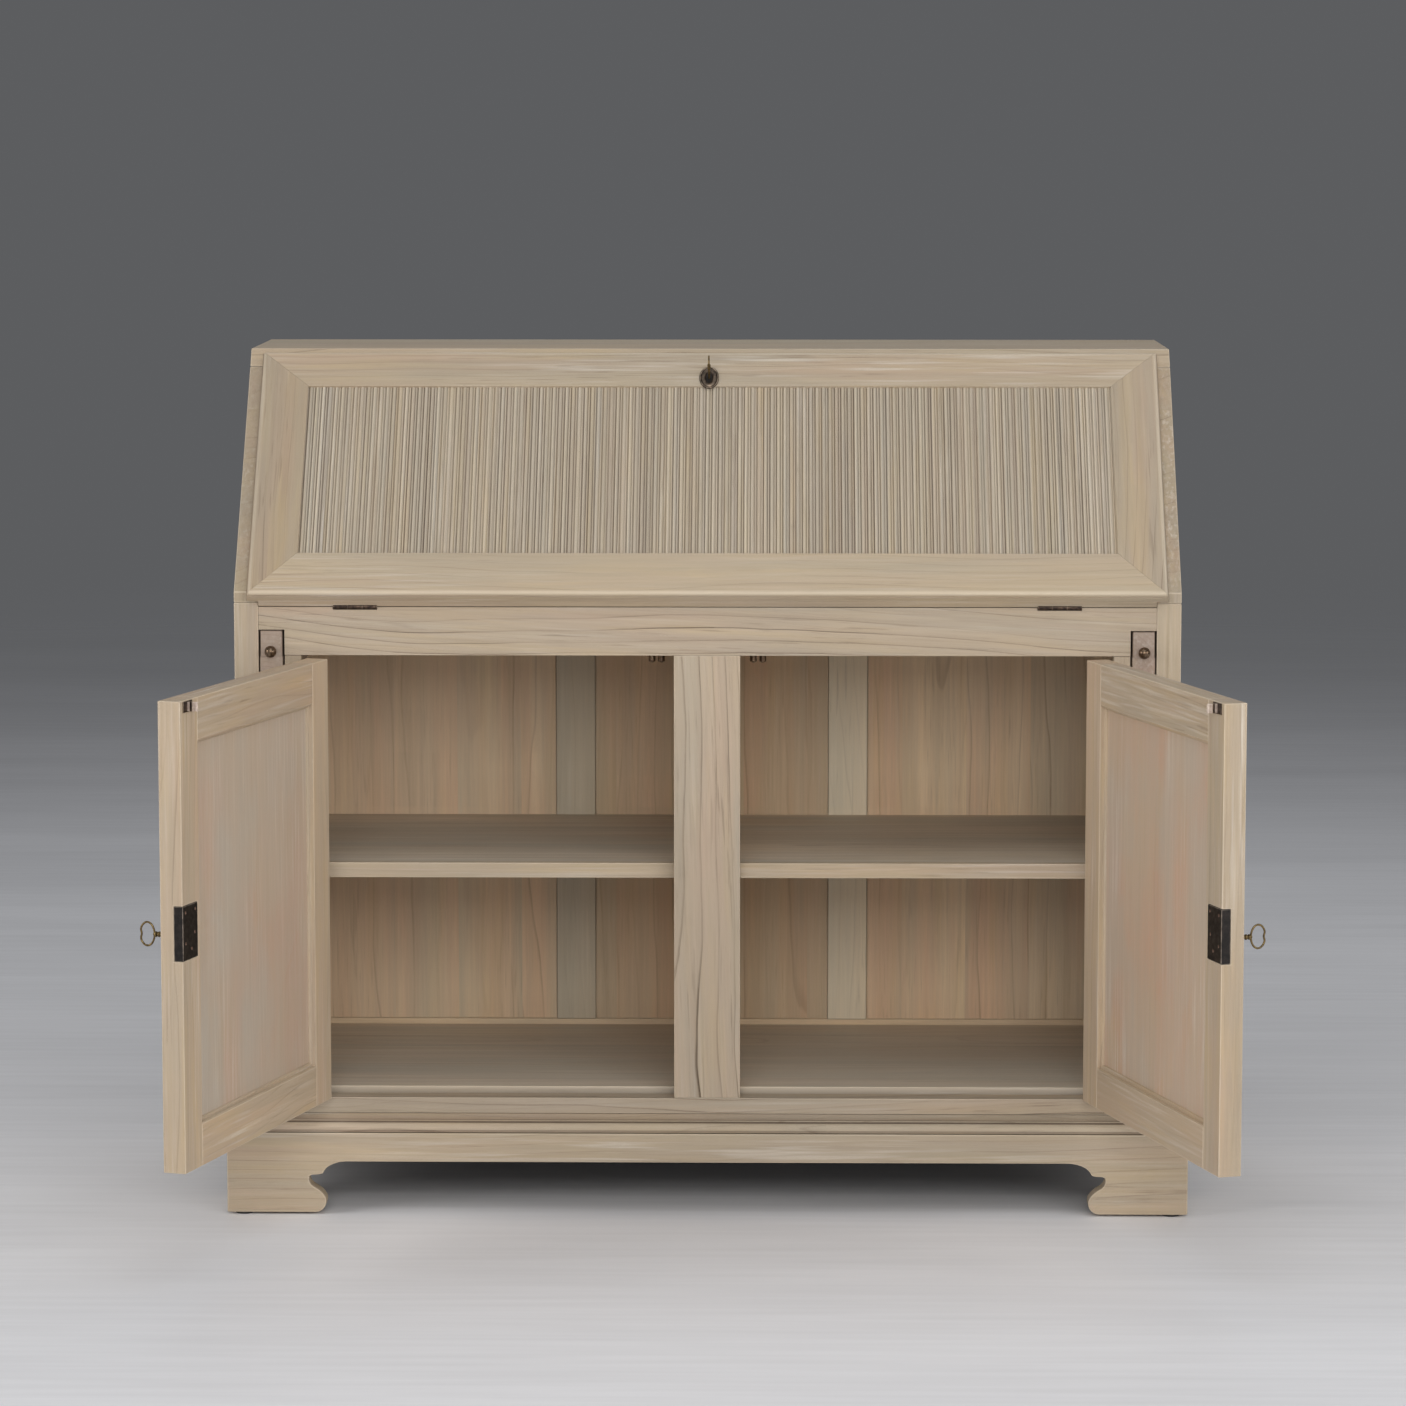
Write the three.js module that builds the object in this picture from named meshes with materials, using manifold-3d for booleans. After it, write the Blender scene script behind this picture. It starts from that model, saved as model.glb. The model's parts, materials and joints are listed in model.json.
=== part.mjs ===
// Secretary desk: a fall-front bureau with a two-door cupboard below, in limed wood.
// Millimetres, +Z up. The assembly is drawn with the carcass front on y = 0 and the floor side of the
// feet on z = 0, and is moved at the end so that the middle of its footprint stands on the origin.
import * as THREE from 'three';
import { mergeVertices } from 'three/addons/utils/BufferGeometryUtils.js';
import Module from 'manifold-3d';

const wasm = await Module();
wasm.setup();

// ---------------------------------------------------------------- driving dimensions
const FIT_GAP = 0.3; // between two pieces that meet
const HALF_BODY = 585;
const SIDE_THICK = 30;
const HALF_INSIDE = HALF_BODY - SIDE_THICK;
const BODY_DEPTH = 480;
const BACK_FACE_Y = 450;
const BACK_THICK = 20;

const PLINTH_PROUD = 15;
const PLINTH_THICK = 25;
const HALF_PLINTH = HALF_BODY + PLINTH_PROUD;
const APRON_LOW_Z = 64.5;
const APRON_TOP_Z = 101;
const MOULDING_TOP_Z = 123.5;
const MOULDING_INSET = 20;
const GLIDE_RADIUS = 11;
const GLIDE_HEIGHT = 3;

const FRAME_THICK = 29.7; // face frame of the cupboard
const OPENING_HALF = 502;
const OPENING_LOW_Z = 143.5;
const OPENING_TOP_Z = 700;
const CENTRE_STILE_HALF = 41;
const PARTITION_HALF = 10;
const BOARD_FRONT_Y = 30.3; // boards stand behind the closed doors
const BOTTOM_BOARD_Z = [130, 152.2];
const SHELF_Z = [417, 436];
const CARCASS_TOP_Z = 765;
const RAIL_DEPTH = 60; // the low part of the top rail carries the door catches

const WRITING_Z = 760;
const WRITING_THICK = 28;
const WRITING_LOW_Z = WRITING_Z - WRITING_THICK;

const SLOT_INNER_X = 523; // slots that the lopers slide in
const SLOT_LOW_Z = 663;
const LOPER_X = [524.5, 553.5];
const LOPER_Z = [698.2, 731.2];
const LOPER_LENGTH = 425;
const BEARER_TOP_Z = 697.5;
const BEARER_SIDE_GAP = 0.8;
const LOPER_KNOB_Z = 705.2;
const LOPER_KNOB_RADIUS = 7.5;

const SLOPE = THREE.MathUtils.degToRad(50.4); // closed flap against the horizontal
const FLAP_THICK = 28;
const REBATE = 12; // the part of the flap that lies between the cheeks
const FLAP_START = 0.5;
const FLAP_LENGTH = 373;
const FLAP_INNER_LENGTH = 359;
const HALF_LIP = 568;
const FLAP_PANEL = { halfWidth: 507.5, low: 62, high: 317.7, inner: 4, outer: 26 };
const KEYHOLE_S = 330.3; // up the slope from the flap's hinge line

const TOP_Z = 1067;
const TOP_THICK = 22;
const TOP_LOW_Z = TOP_Z - TOP_THICK;

const DOOR_OPEN = THREE.MathUtils.degToRad(106.5); // both doors stand open
const PIN_X = 501;
const PIN_PROUD = 7;
const DOOR_WIDTH = 457;
const DOOR_THICK = 28;
const DOOR_Z = [145.3, 697.2];
const DOOR_FRAME = 50;
const DOOR_EDGE_GAP = 1;
const HINGE_ZS = [215, 627];

const GALLERY_FRONT_Y = 262;
const GALLERY_BOARD = 8;
const GALLERY_MID_Z = 845;
const GALLERY_TOP_Z = 985;
const DRAWER_INNER_X = 190;
const DRAWER_GAP = 1.5;

// ---------------------------------------------------------------- materials
const FINISHES = {
  wood: { color: 0xb7a486, roughness: 0.62, metalness: 0 },
  darkerWood: { color: 0x9b8468, roughness: 0.66, metalness: 0 },
  bronze: { color: 0x3f3226, roughness: 0.45, metalness: 0.8 },
  brass: { color: 0x8d7443, roughness: 0.4, metalness: 0.9 },
  iron: { color: 0x221f1e, roughness: 0.5, metalness: 0.6 },
  glide: { color: 0x24211f, roughness: 0.7, metalness: 0 },
};

function piece(name, geometry, finish, parent) {
  const mesh = new THREE.Mesh(geometry, new THREE.MeshStandardMaterial(FINISHES[finish]));
  mesh.name = name;
  parent.add(mesh);
  return mesh;
}

// ---------------------------------------------------------------- shapes
// A box between limits; each range may run either way.
function box([x0, x1], [y0, y1], [z0, z1]) {
  const geometry = new THREE.BoxGeometry(Math.abs(x1 - x0), Math.abs(y1 - y0), Math.abs(z1 - z0));
  return geometry.translate((x0 + x1) / 2, (y0 + y1) / 2, (z0 + z1) / 2);
}

function outline(points) {
  return new THREE.Shape(points.map(([a, b]) => new THREE.Vector2(a, b)));
}

// An outline drawn in (y, z), extruded along x.
function alongX(points, [x0, x1]) {
  const geometry = new THREE.ExtrudeGeometry(outline(points), { depth: x1 - x0, bevelEnabled: false });
  const turn = new THREE.Matrix4().makeBasis(
    new THREE.Vector3(0, 1, 0),
    new THREE.Vector3(0, 0, 1),
    new THREE.Vector3(1, 0, 0),
  );
  return geometry.applyMatrix4(turn).translate(x0, 0, 0);
}

// An outline drawn in (x, z), extruded along y.
function alongY(points, [y0, y1]) {
  const geometry = new THREE.ExtrudeGeometry(outline(points), { depth: y1 - y0, bevelEnabled: false });
  return geometry.rotateX(Math.PI / 2).translate(0, y1, 0);
}

function cylinderAlongX(radius, [x0, x1], segments = 16) {
  return new THREE.CylinderGeometry(radius, radius, x1 - x0, segments)
    .rotateZ(Math.PI / 2)
    .translate((x0 + x1) / 2, 0, 0);
}

function cylinderAlongY(radius, [y0, y1], segments = 16) {
  return new THREE.CylinderGeometry(radius, radius, y1 - y0, segments).translate(0, (y0 + y1) / 2, 0);
}

function cylinderAlongZ(radius, [z0, z1], segments = 16) {
  return new THREE.CylinderGeometry(radius, radius, z1 - z0, segments)
    .rotateX(Math.PI / 2)
    .translate(0, 0, (z0 + z1) / 2);
}

function solid(geometry) {
  const bare = geometry.clone();
  bare.deleteAttribute('normal');
  bare.deleteAttribute('uv');
  const merged = mergeVertices(bare, 1e-4);
  return new wasm.Manifold(
    new wasm.Mesh({
      numProp: 3,
      vertProperties: new Float32Array(merged.attributes.position.array),
      triVerts: new Uint32Array(merged.index.array),
    }),
  );
}

function geometryOf(manifold) {
  const mesh = manifold.getMesh();
  const geometry = new THREE.BufferGeometry();
  geometry.setAttribute('position', new THREE.BufferAttribute(new Float32Array(mesh.vertProperties), 3));
  geometry.setIndex(new THREE.BufferAttribute(new Uint32Array(mesh.triVerts), 1));
  geometry.computeVertexNormals();
  return geometry;
}

function joined(geometries) {
  return geometryOf(geometries.map(solid).reduce((all, next) => all.add(next)));
}

function cut(geometry, holes) {
  return geometryOf(holes.map(solid).reduce((left, hole) => left.subtract(hole), solid(geometry)));
}

const SIDES = [
  { side: -1, label: 'left' },
  { side: 1, label: 'right' },
];

// The same range on the given side of the middle, low end first.
function mirrored(side, [near, far]) {
  return side > 0 ? [near, far] : [-far, -near];
}

// Where the sloping plane at a given distance outside the flap's inner face meets a height.
function slopeY(z, outside) {
  const upSlope = (z - WRITING_Z - outside * Math.cos(SLOPE)) / Math.sin(SLOPE);
  return upSlope * Math.cos(SLOPE) - outside * Math.sin(SLOPE);
}

// ---------------------------------------------------------------- base
// The bracket foot's outline, from the outer corner inwards: a round toe, a hollow, a step and a sweep.
function footPoints() {
  const foot = new THREE.Path();
  foot.moveTo(0, 0);
  foot.lineTo(110, 0);
  foot.absarc(110, 14, 14, -Math.PI / 2, Math.PI / 10, false);
  foot.quadraticCurveTo(119, 27, 109, 32);
  foot.quadraticCurveTo(101, 37, 103, 46);
  foot.lineTo(120, 48.5);
  foot.quadraticCurveTo(124, 62, 147, APRON_LOW_Z);
  return foot.getPoints(6).map(({ x, y }) => [x, y]);
}

function plinth(parent) {
  const foot = footPoints();
  const frontOutline = [
    ...foot.map(([u, z]) => [u - HALF_PLINTH, z]),
    ...foot.map(([u, z]) => [HALF_PLINTH - u, z]).reverse(),
    [HALF_PLINTH, APRON_TOP_Z],
    [-HALF_PLINTH, APRON_TOP_Z],
  ];
  const boardBackY = PLINTH_THICK - PLINTH_PROUD;
  piece('plinth_front', alongY(frontOutline, [-PLINTH_PROUD, boardBackY]), 'wood', parent);

  const sideStartY = boardBackY + FIT_GAP;
  const sideEndY = BODY_DEPTH - 10;
  const inFrontOfSide = ([y]) => y > sideStartY;
  const sideOutline = [
    [sideStartY, 0],
    ...foot.map(([u, z]) => [u - PLINTH_PROUD, z]).filter(inFrontOfSide),
    ...foot.map(([u, z]) => [sideEndY - u, z]).reverse(),
    [sideEndY, APRON_TOP_Z],
    [sideStartY, APRON_TOP_Z],
  ];
  const innerX = HALF_PLINTH - PLINTH_THICK;
  for (const { side, label } of SIDES) {
    const span = mirrored(side, [innerX, HALF_PLINTH]);
    piece(`plinth_side_${label}`, alongX(sideOutline, span), 'wood', parent);
  }
  // Between the side mouldings the back board rises to the carcass.
  const backX = innerX - FIT_GAP;
  const riseX = HALF_BODY - MOULDING_INSET - FIT_GAP;
  const backOutline = [
    [-backX, APRON_LOW_Z],
    [backX, APRON_LOW_Z],
    [backX, APRON_TOP_Z],
    [riseX, APRON_TOP_Z],
    [riseX, MOULDING_TOP_Z],
    [-riseX, MOULDING_TOP_Z],
    [-riseX, APRON_TOP_Z],
    [-backX, APRON_TOP_Z],
  ];
  piece('plinth_back', alongY(backOutline, [sideEndY - PLINTH_THICK, sideEndY]), 'darkerWood', parent);
}

// The moulding's section, as (distance outside the carcass face, height): bead, fillet and hollow.
function mouldingSection() {
  const section = new THREE.Path();
  const lowZ = APRON_TOP_Z + FIT_GAP;
  section.moveTo(-MOULDING_INSET, lowZ);
  section.lineTo(PLINTH_PROUD - 1.5, lowZ);
  section.quadraticCurveTo(PLINTH_PROUD + 1, 110, 7, 113);
  section.lineTo(6, 113);
  section.lineTo(6, 115);
  section.quadraticCurveTo(0.5, 116, 0.2, MOULDING_TOP_Z);
  section.lineTo(-MOULDING_INSET, MOULDING_TOP_Z);
  return section.getPoints(5).map(({ x, y }) => [x, y]);
}

// Moves one end of an extruded length so that its cut follows the 45 degree mitre.
function mitre(geometry, moves) {
  const position = geometry.attributes.position;
  for (let i = 0; i < position.count; i += 1) {
    moves(position, i);
  }
  return geometry;
}

function baseMoulding(parent) {
  const mitreGap = FIT_GAP / 2;
  const section = mouldingSection();
  const frontLength = alongX(section.map(([out, z]) => [-out, z]), [-HALF_BODY, HALF_BODY]);
  const front = mitre(frontLength, (position, i) => {
    const reach = HALF_BODY - position.getY(i) - mitreGap;
    position.setX(i, Math.sign(position.getX(i)) * reach);
  });
  piece('base_moulding_front', front, 'wood', parent);

  const backY = BODY_DEPTH - 5;
  for (const { side, label } of SIDES) {
    const length = alongY(section.map(([out, z]) => [side * (HALF_BODY + out), z]), [0, backY]);
    const run = mitre(length, (position, i) => {
      if (position.getY(i) < backY / 2) {
        position.setY(i, HALF_BODY - Math.abs(position.getX(i)) + mitreGap);
      }
    });
    piece(`base_moulding_${label}`, run, 'wood', parent);
  }
}

function glides(parent) {
  const frontGlide = { x: HALF_PLINTH - 20, y: -2.5, end: 'front' };
  const rearGlide = { x: HALF_PLINTH - PLINTH_THICK / 2, y: BODY_DEPTH - 50, end: 'rear' };
  for (const { side, label } of SIDES) {
    for (const { x, y, end } of [frontGlide, rearGlide]) {
      const glide = cylinderAlongZ(GLIDE_RADIUS, [-GLIDE_HEIGHT, -0.1]).translate(side * x, y, 0);
      piece(`glide_${end}_${label}`, glide, 'glide', parent);
    }
  }
}

// ---------------------------------------------------------------- lower carcass
function lowerCarcass(parent) {
  const lowZ = MOULDING_TOP_Z + FIT_GAP;
  const insideX = HALF_INSIDE - FIT_GAP;
  const backY = BACK_FACE_Y - FIT_GAP;
  for (const { side, label } of SIDES) {
    const panel = box(mirrored(side, [HALF_INSIDE, HALF_BODY]), [0, BODY_DEPTH], [lowZ, CARCASS_TOP_Z]);
    piece(`side_panel_${label}`, panel, 'wood', parent);

    const slotX = SLOT_INNER_X - FIT_GAP;
    const stile = [
      [side * OPENING_HALF, lowZ],
      [side * insideX, lowZ],
      [side * insideX, SLOT_LOW_Z - FIT_GAP],
      [side * slotX, SLOT_LOW_Z - FIT_GAP],
      [side * slotX, OPENING_TOP_Z - FIT_GAP],
      [side * OPENING_HALF, OPENING_TOP_Z - FIT_GAP],
    ];
    piece(`front_stile_${label}`, alongY(stile, [0, FRAME_THICK]), 'wood', parent);

    const bearerX = [SLOT_INNER_X + BEARER_SIDE_GAP, HALF_INSIDE - BEARER_SIDE_GAP];
    const bearer = box(mirrored(side, bearerX), [0, backY], [SLOT_LOW_Z, BEARER_TOP_Z]);
    piece(`loper_bearer_${label}`, bearer, 'wood', parent);

    const shelf = box(mirrored(side, [PARTITION_HALF + FIT_GAP, insideX]), [BOARD_FRONT_Y, backY], SHELF_Z);
    piece(`shelf_${label}`, shelf, 'wood', parent);
  }

  const railX = OPENING_HALF - FIT_GAP;
  piece('bottom_rail', box([-railX, railX], [0, FRAME_THICK], [lowZ, OPENING_LOW_Z]), 'wood', parent);
  const stileZ = [OPENING_LOW_Z + FIT_GAP, OPENING_TOP_Z - FIT_GAP];
  const centreStile = box([-CENTRE_STILE_HALF, CENTRE_STILE_HALF], [0, FRAME_THICK], stileZ);
  piece('centre_stile', centreStile, 'wood', parent);
  piece('bottom_board', box([-insideX, insideX], [BOARD_FRONT_Y, backY], BOTTOM_BOARD_Z), 'wood', parent);

  const partition = [
    [BOARD_FRONT_Y, BOTTOM_BOARD_Z[1] + FIT_GAP],
    [BOARD_FRONT_Y, OPENING_TOP_Z - FIT_GAP],
    [RAIL_DEPTH + FIT_GAP, OPENING_TOP_Z - FIT_GAP],
    [RAIL_DEPTH + FIT_GAP, WRITING_LOW_Z - FIT_GAP],
    [backY, WRITING_LOW_Z - FIT_GAP],
    [backY, BOTTOM_BOARD_Z[1] + FIT_GAP],
  ];
  piece('centre_partition', alongX(partition, [-PARTITION_HALF, PARTITION_HALF]), 'wood', parent);

  const back = box([-insideX, insideX], [BACK_FACE_Y, BACK_FACE_Y + BACK_THICK], [lowZ, CARCASS_TOP_Z]);
  piece('lower_back', back, 'darkerWood', parent);
  const writing = box([-insideX, insideX], [BOARD_FRONT_Y, backY], [WRITING_LOW_Z, WRITING_Z]);
  piece('writing_board', writing, 'wood', parent);
}

const FLAP_HINGE_X = 435;
const FLAP_HINGE_HALF = 27;
const LEAF_REACH = 26;
const LEAF_THICK = 1.5;
const KNUCKLE_RADIUS = 3;
const MIDDLE_KNUCKLE_HALF = 9;

// The rail over the doors: a deep low part with the catches, and a front that spans the loper slots.
function topRail(parent) {
  const railTopZ = WRITING_Z - 0.2;
  const lowX = SLOT_INNER_X - FIT_GAP;
  const highX = HALF_INSIDE - FIT_GAP;
  const low = box([-lowX, lowX], [0, RAIL_DEPTH], [OPENING_TOP_Z, WRITING_LOW_Z - FIT_GAP]);
  const high = box([-highX, highX], [0, FRAME_THICK], [WRITING_LOW_Z - 0.5, railTopZ]);
  const hingeSeats = SIDES.map(({ side }) => {
    const middle = side * FLAP_HINGE_X;
    const seatX = [middle - FLAP_HINGE_HALF - 0.5, middle + FLAP_HINGE_HALF + 0.5];
    return box(seatX, [-1, LEAF_REACH + 1], [WRITING_Z - KNUCKLE_RADIUS - 0.6, WRITING_Z + 1]);
  });
  piece('top_rail', cut(joined([low, high]), hingeSeats), 'wood', parent);
}

// ---------------------------------------------------------------- upper carcass
function upperCarcass(parent) {
  const lowZ = CARCASS_TOP_Z + FIT_GAP;
  const cheekTopZ = TOP_LOW_Z - FIT_GAP;
  const seat = REBATE - FIT_GAP; // the lip of the closed flap rests on this slope
  const cheek = [
    [0, lowZ],
    [BODY_DEPTH, lowZ],
    [BODY_DEPTH, cheekTopZ],
    [slopeY(cheekTopZ, seat), cheekTopZ],
    [0, WRITING_Z + seat / Math.cos(SLOPE)],
  ];
  for (const { side, label } of SIDES) {
    piece(`cheek_${label}`, alongX(cheek, mirrored(side, [HALF_INSIDE, HALF_BODY])), 'wood', parent);
  }
  const top = [
    [slopeY(TOP_LOW_Z, seat), TOP_LOW_Z],
    [BODY_DEPTH, TOP_LOW_Z],
    [BODY_DEPTH, TOP_Z],
    [slopeY(TOP_Z, seat), TOP_Z],
  ];
  piece('top_board', alongX(top, [-HALF_BODY, HALF_BODY]), 'wood', parent);
  const insideX = HALF_INSIDE - FIT_GAP;
  const back = box([-insideX, insideX], [BACK_FACE_Y, BACK_FACE_Y + BACK_THICK], [lowZ, cheekTopZ]);
  piece('upper_back', back, 'darkerWood', parent);
}

// A rack of pigeonholes stands on the writing board, with a small drawer at each end of its lower row.
const GALLERY_HALF = HALF_INSIDE - 1;

function gallery(parent) {
  const depth = [GALLERY_FRONT_Y, BACK_FACE_Y - FIT_GAP];
  const standsOnZ = WRITING_Z + 0.1;
  const upright = (x, z0, z1) => box([x - GALLERY_BOARD / 2, x + GALLERY_BOARD / 2], depth, [z0, z1]);
  const shelfAt = (z) => box([-GALLERY_HALF, GALLERY_HALF], depth, [z, z + GALLERY_BOARD]);
  const endX = GALLERY_HALF - GALLERY_BOARD / 2;
  const lowerX = DRAWER_INNER_X - GALLERY_BOARD / 2;
  const boards = [
    upright(-endX, standsOnZ, GALLERY_TOP_Z + GALLERY_BOARD),
    upright(endX, standsOnZ, GALLERY_TOP_Z + GALLERY_BOARD),
    upright(-lowerX, standsOnZ, GALLERY_MID_Z + GALLERY_BOARD / 2),
    upright(lowerX, standsOnZ, GALLERY_MID_Z + GALLERY_BOARD / 2),
    shelfAt(GALLERY_MID_Z),
    shelfAt(GALLERY_TOP_Z),
  ];
  for (const x of [-endX / 2, 0, endX / 2]) {
    boards.push(upright(x, GALLERY_MID_Z + GALLERY_BOARD / 2, GALLERY_TOP_Z + GALLERY_BOARD / 2));
  }
  piece('gallery', joined(boards), 'wood', parent);
}

function drawers(parent) {
  const frontThick = 14;
  const wall = 7;
  const outerX = GALLERY_HALF - GALLERY_BOARD - DRAWER_GAP;
  const innerX = DRAWER_INNER_X + DRAWER_GAP;
  const z = [WRITING_Z + 0.6, GALLERY_MID_Z - DRAWER_GAP];
  const y = [GALLERY_FRONT_Y + 1, BACK_FACE_Y - 6];
  for (const { side, label } of SIDES) {
    const body = box(mirrored(side, [innerX, outerX]), y, z);
    const hollowX = mirrored(side, [innerX + wall, outerX - wall]);
    const hollow = box(hollowX, [y[0] + frontThick, y[1] - wall], [z[0] + wall, z[1] + 1]);
    piece(`drawer_${label}`, cut(body, [hollow]), 'wood', parent);
  }
}

// ---------------------------------------------------------------- lopers
function lopers(parent) {
  const knob = [
    [0, -18.5],
    [3.6, -18.1],
    [6.3, -15.8],
    [LOPER_KNOB_RADIUS, -11.8],
    [6.3, -7.8],
    [3.8, -5.2],
    [2.8, -3.4],
    [4.6, -1.6],
    [4.6, -0.2],
    [0, -0.2],
  ].map(([radius, y]) => new THREE.Vector2(radius, y));
  const middleX = (LOPER_X[0] + LOPER_X[1]) / 2;
  for (const { side, label } of SIDES) {
    piece(`loper_${label}`, box(mirrored(side, LOPER_X), [0, LOPER_LENGTH], LOPER_Z), 'wood', parent);
    const turned = piece(`loper_knob_${label}`, new THREE.LatheGeometry(knob, 16), 'bronze', parent);
    turned.position.set(side * middleX, 0, LOPER_KNOB_Z);
  }
}

// ---------------------------------------------------------------- keys
// A key with its shaft along y, the bow at the -y end and the bow's ring in the (y, z) plane.
function keyGeometry({ inside, bowY, bowHalfLength, bowHalfHeight, wire }) {
  const shaftRadius = 2.4;
  const bowThick = 3;
  const ring = new THREE.Shape();
  ring.absellipse(bowY, 0, bowHalfLength, bowHalfHeight, 0, 2 * Math.PI);
  const hole = new THREE.Path();
  hole.absellipse(bowY, 0, bowHalfLength - wire, bowHalfHeight - wire, 0, 2 * Math.PI);
  ring.holes.push(hole);
  const bow = new THREE.ExtrudeGeometry(ring, { depth: bowThick, bevelEnabled: false, curveSegments: 20 });
  const turn = new THREE.Matrix4().makeBasis(
    new THREE.Vector3(0, 1, 0),
    new THREE.Vector3(0, 0, 1),
    new THREE.Vector3(1, 0, 0),
  );
  bow.applyMatrix4(turn).translate(-bowThick / 2, 0, 0);
  const shaftEndY = bowY + bowHalfLength - wire / 2;
  const collar = (y) => cylinderAlongY(3.8, [y - 1.5, y + 1.5], 12);
  return joined([
    bow,
    cylinderAlongY(shaftRadius, [shaftEndY, inside], 12),
    collar(shaftEndY + 3.4),
    collar(shaftEndY + 7.4),
  ]);
}

// ---------------------------------------------------------------- flap
// Inside the flap's group y runs up the slope from the hinge line and z runs out of the inner face.
function flapHinge(parent, hinged, side, label) {
  const middle = side * FLAP_HINGE_X;
  const ends = SIDES.map((end) => mirrored(end.side, [MIDDLE_KNUCKLE_HALF + 0.2, FLAP_HINGE_HALF]));
  const plateGap = 0.5;
  const fixedPlate = box(
    [-FLAP_HINGE_HALF, FLAP_HINGE_HALF],
    [KNUCKLE_RADIUS + plateGap, LEAF_REACH],
    [-LEAF_THICK - 0.3, -0.3],
  );
  const fixed = joined([
    fixedPlate,
    ...ends.map((end) => box(end, [0, KNUCKLE_RADIUS + 1], [-LEAF_THICK - 0.3, -0.3])),
    ...ends.map((end) => cylinderAlongX(KNUCKLE_RADIUS, end)),
    cylinderAlongX(1.2, [-FLAP_HINGE_HALF + 1, FLAP_HINGE_HALF - 1], 12),
  ]);
  const fixedLeaf = piece(`flap_hinge_leaf_${label}`, fixed, 'bronze', parent);
  fixedLeaf.position.set(middle, 0, WRITING_Z);

  const middleX = [-MIDDLE_KNUCKLE_HALF, MIDDLE_KNUCKLE_HALF];
  const movingPlate = box(
    [-FLAP_HINGE_HALF, FLAP_HINGE_HALF],
    [KNUCKLE_RADIUS + plateGap, LEAF_REACH],
    [0.3, 0.3 + LEAF_THICK],
  );
  const moving = joined([
    movingPlate,
    box(middleX, [0, KNUCKLE_RADIUS + 1], [0.3, 0.3 + LEAF_THICK]),
    cylinderAlongX(KNUCKLE_RADIUS, middleX),
  ]);
  const bored = cut(moving, [cylinderAlongX(1.5, [-MIDDLE_KNUCKLE_HALF - 1, MIDDLE_KNUCKLE_HALF + 1], 12)]);
  const movingLeaf = piece(`flap_leaf_${label}`, bored, 'bronze', hinged);
  movingLeaf.position.set(middle, 0, 0);
}

function flap(parent) {
  const group = new THREE.Group();
  group.position.set(0, 0, WRITING_Z);
  group.rotation.x = SLOPE;
  parent.add(group);

  const innerHalf = HALF_INSIDE - 0.6;
  const inner = box([-innerHalf, innerHalf], [FLAP_START, FLAP_INNER_LENGTH], [0, REBATE + 1]);
  const lip = box([-HALF_LIP, HALF_LIP], [FLAP_START, FLAP_LENGTH], [REBATE, FLAP_THICK]);
  const { halfWidth, low, high } = FLAP_PANEL;
  const lockX = 35;
  const lockY = [KEYHOLE_S - 10, FLAP_INNER_LENGTH - 2];
  const lockZ = [0.2, 11];
  const holes = [
    box([-halfWidth, halfWidth], [low, high], [-1, FLAP_THICK + 1]),
    box([-lockX - 0.3, lockX + 0.3], [lockY[0] - 0.3, lockY[1] + 0.3], [-1, lockZ[1] + 0.3]),
    cylinderAlongZ(4.5, [0, FLAP_THICK + 1]).translate(0, KEYHOLE_S, 0),
  ];
  for (const { side, label } of SIDES) {
    const seatX = [side * FLAP_HINGE_X - FLAP_HINGE_HALF - 0.5, side * FLAP_HINGE_X + FLAP_HINGE_HALF + 0.5];
    holes.push(box(seatX, [0, LEAF_REACH + 0.5], [-1, 0.6 + LEAF_THICK]));
    holes.push(box(seatX, [0, KNUCKLE_RADIUS + 0.7], [-1, KNUCKLE_RADIUS + 0.7]));
    flapHinge(parent, group, side, label);
  }
  piece('flap_frame', cut(joined([inner, lip]), holes), 'wood', group);

  const panel = box(
    [-halfWidth + FIT_GAP, halfWidth - FIT_GAP],
    [low + FIT_GAP, high - FIT_GAP],
    [FLAP_PANEL.inner, FLAP_PANEL.outer],
  );
  piece('flap_panel', panel, 'wood', group);
  piece('flap_lock', box([-lockX, lockX], lockY, lockZ), 'iron', group);

  const oval = new THREE.Shape();
  oval.absellipse(0, 0, 12.5, 17, 0, 2 * Math.PI);
  const keyhole = new THREE.Path();
  keyhole.absarc(0, 0, 3.4, -0.35 * Math.PI, 1.35 * Math.PI, false);
  keyhole.lineTo(-1.3, -9);
  keyhole.lineTo(1.3, -9);
  oval.holes.push(keyhole);
  const plate = new THREE.ExtrudeGeometry(oval, { depth: 2, bevelEnabled: false, curveSegments: 20 });
  plate.translate(0, KEYHOLE_S, FLAP_THICK + 0.2);
  piece('flap_escutcheon', plate, 'bronze', group);

  const shortKey = { inside: 16, bowY: -35, bowHalfLength: 7.5, bowHalfHeight: 8, wire: 2.6 };
  const key = piece('flap_key', keyGeometry(shortKey), 'brass', group);
  key.rotation.x = -Math.PI / 2;
  key.position.set(0, KEYHOLE_S, FLAP_THICK);
}

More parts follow.
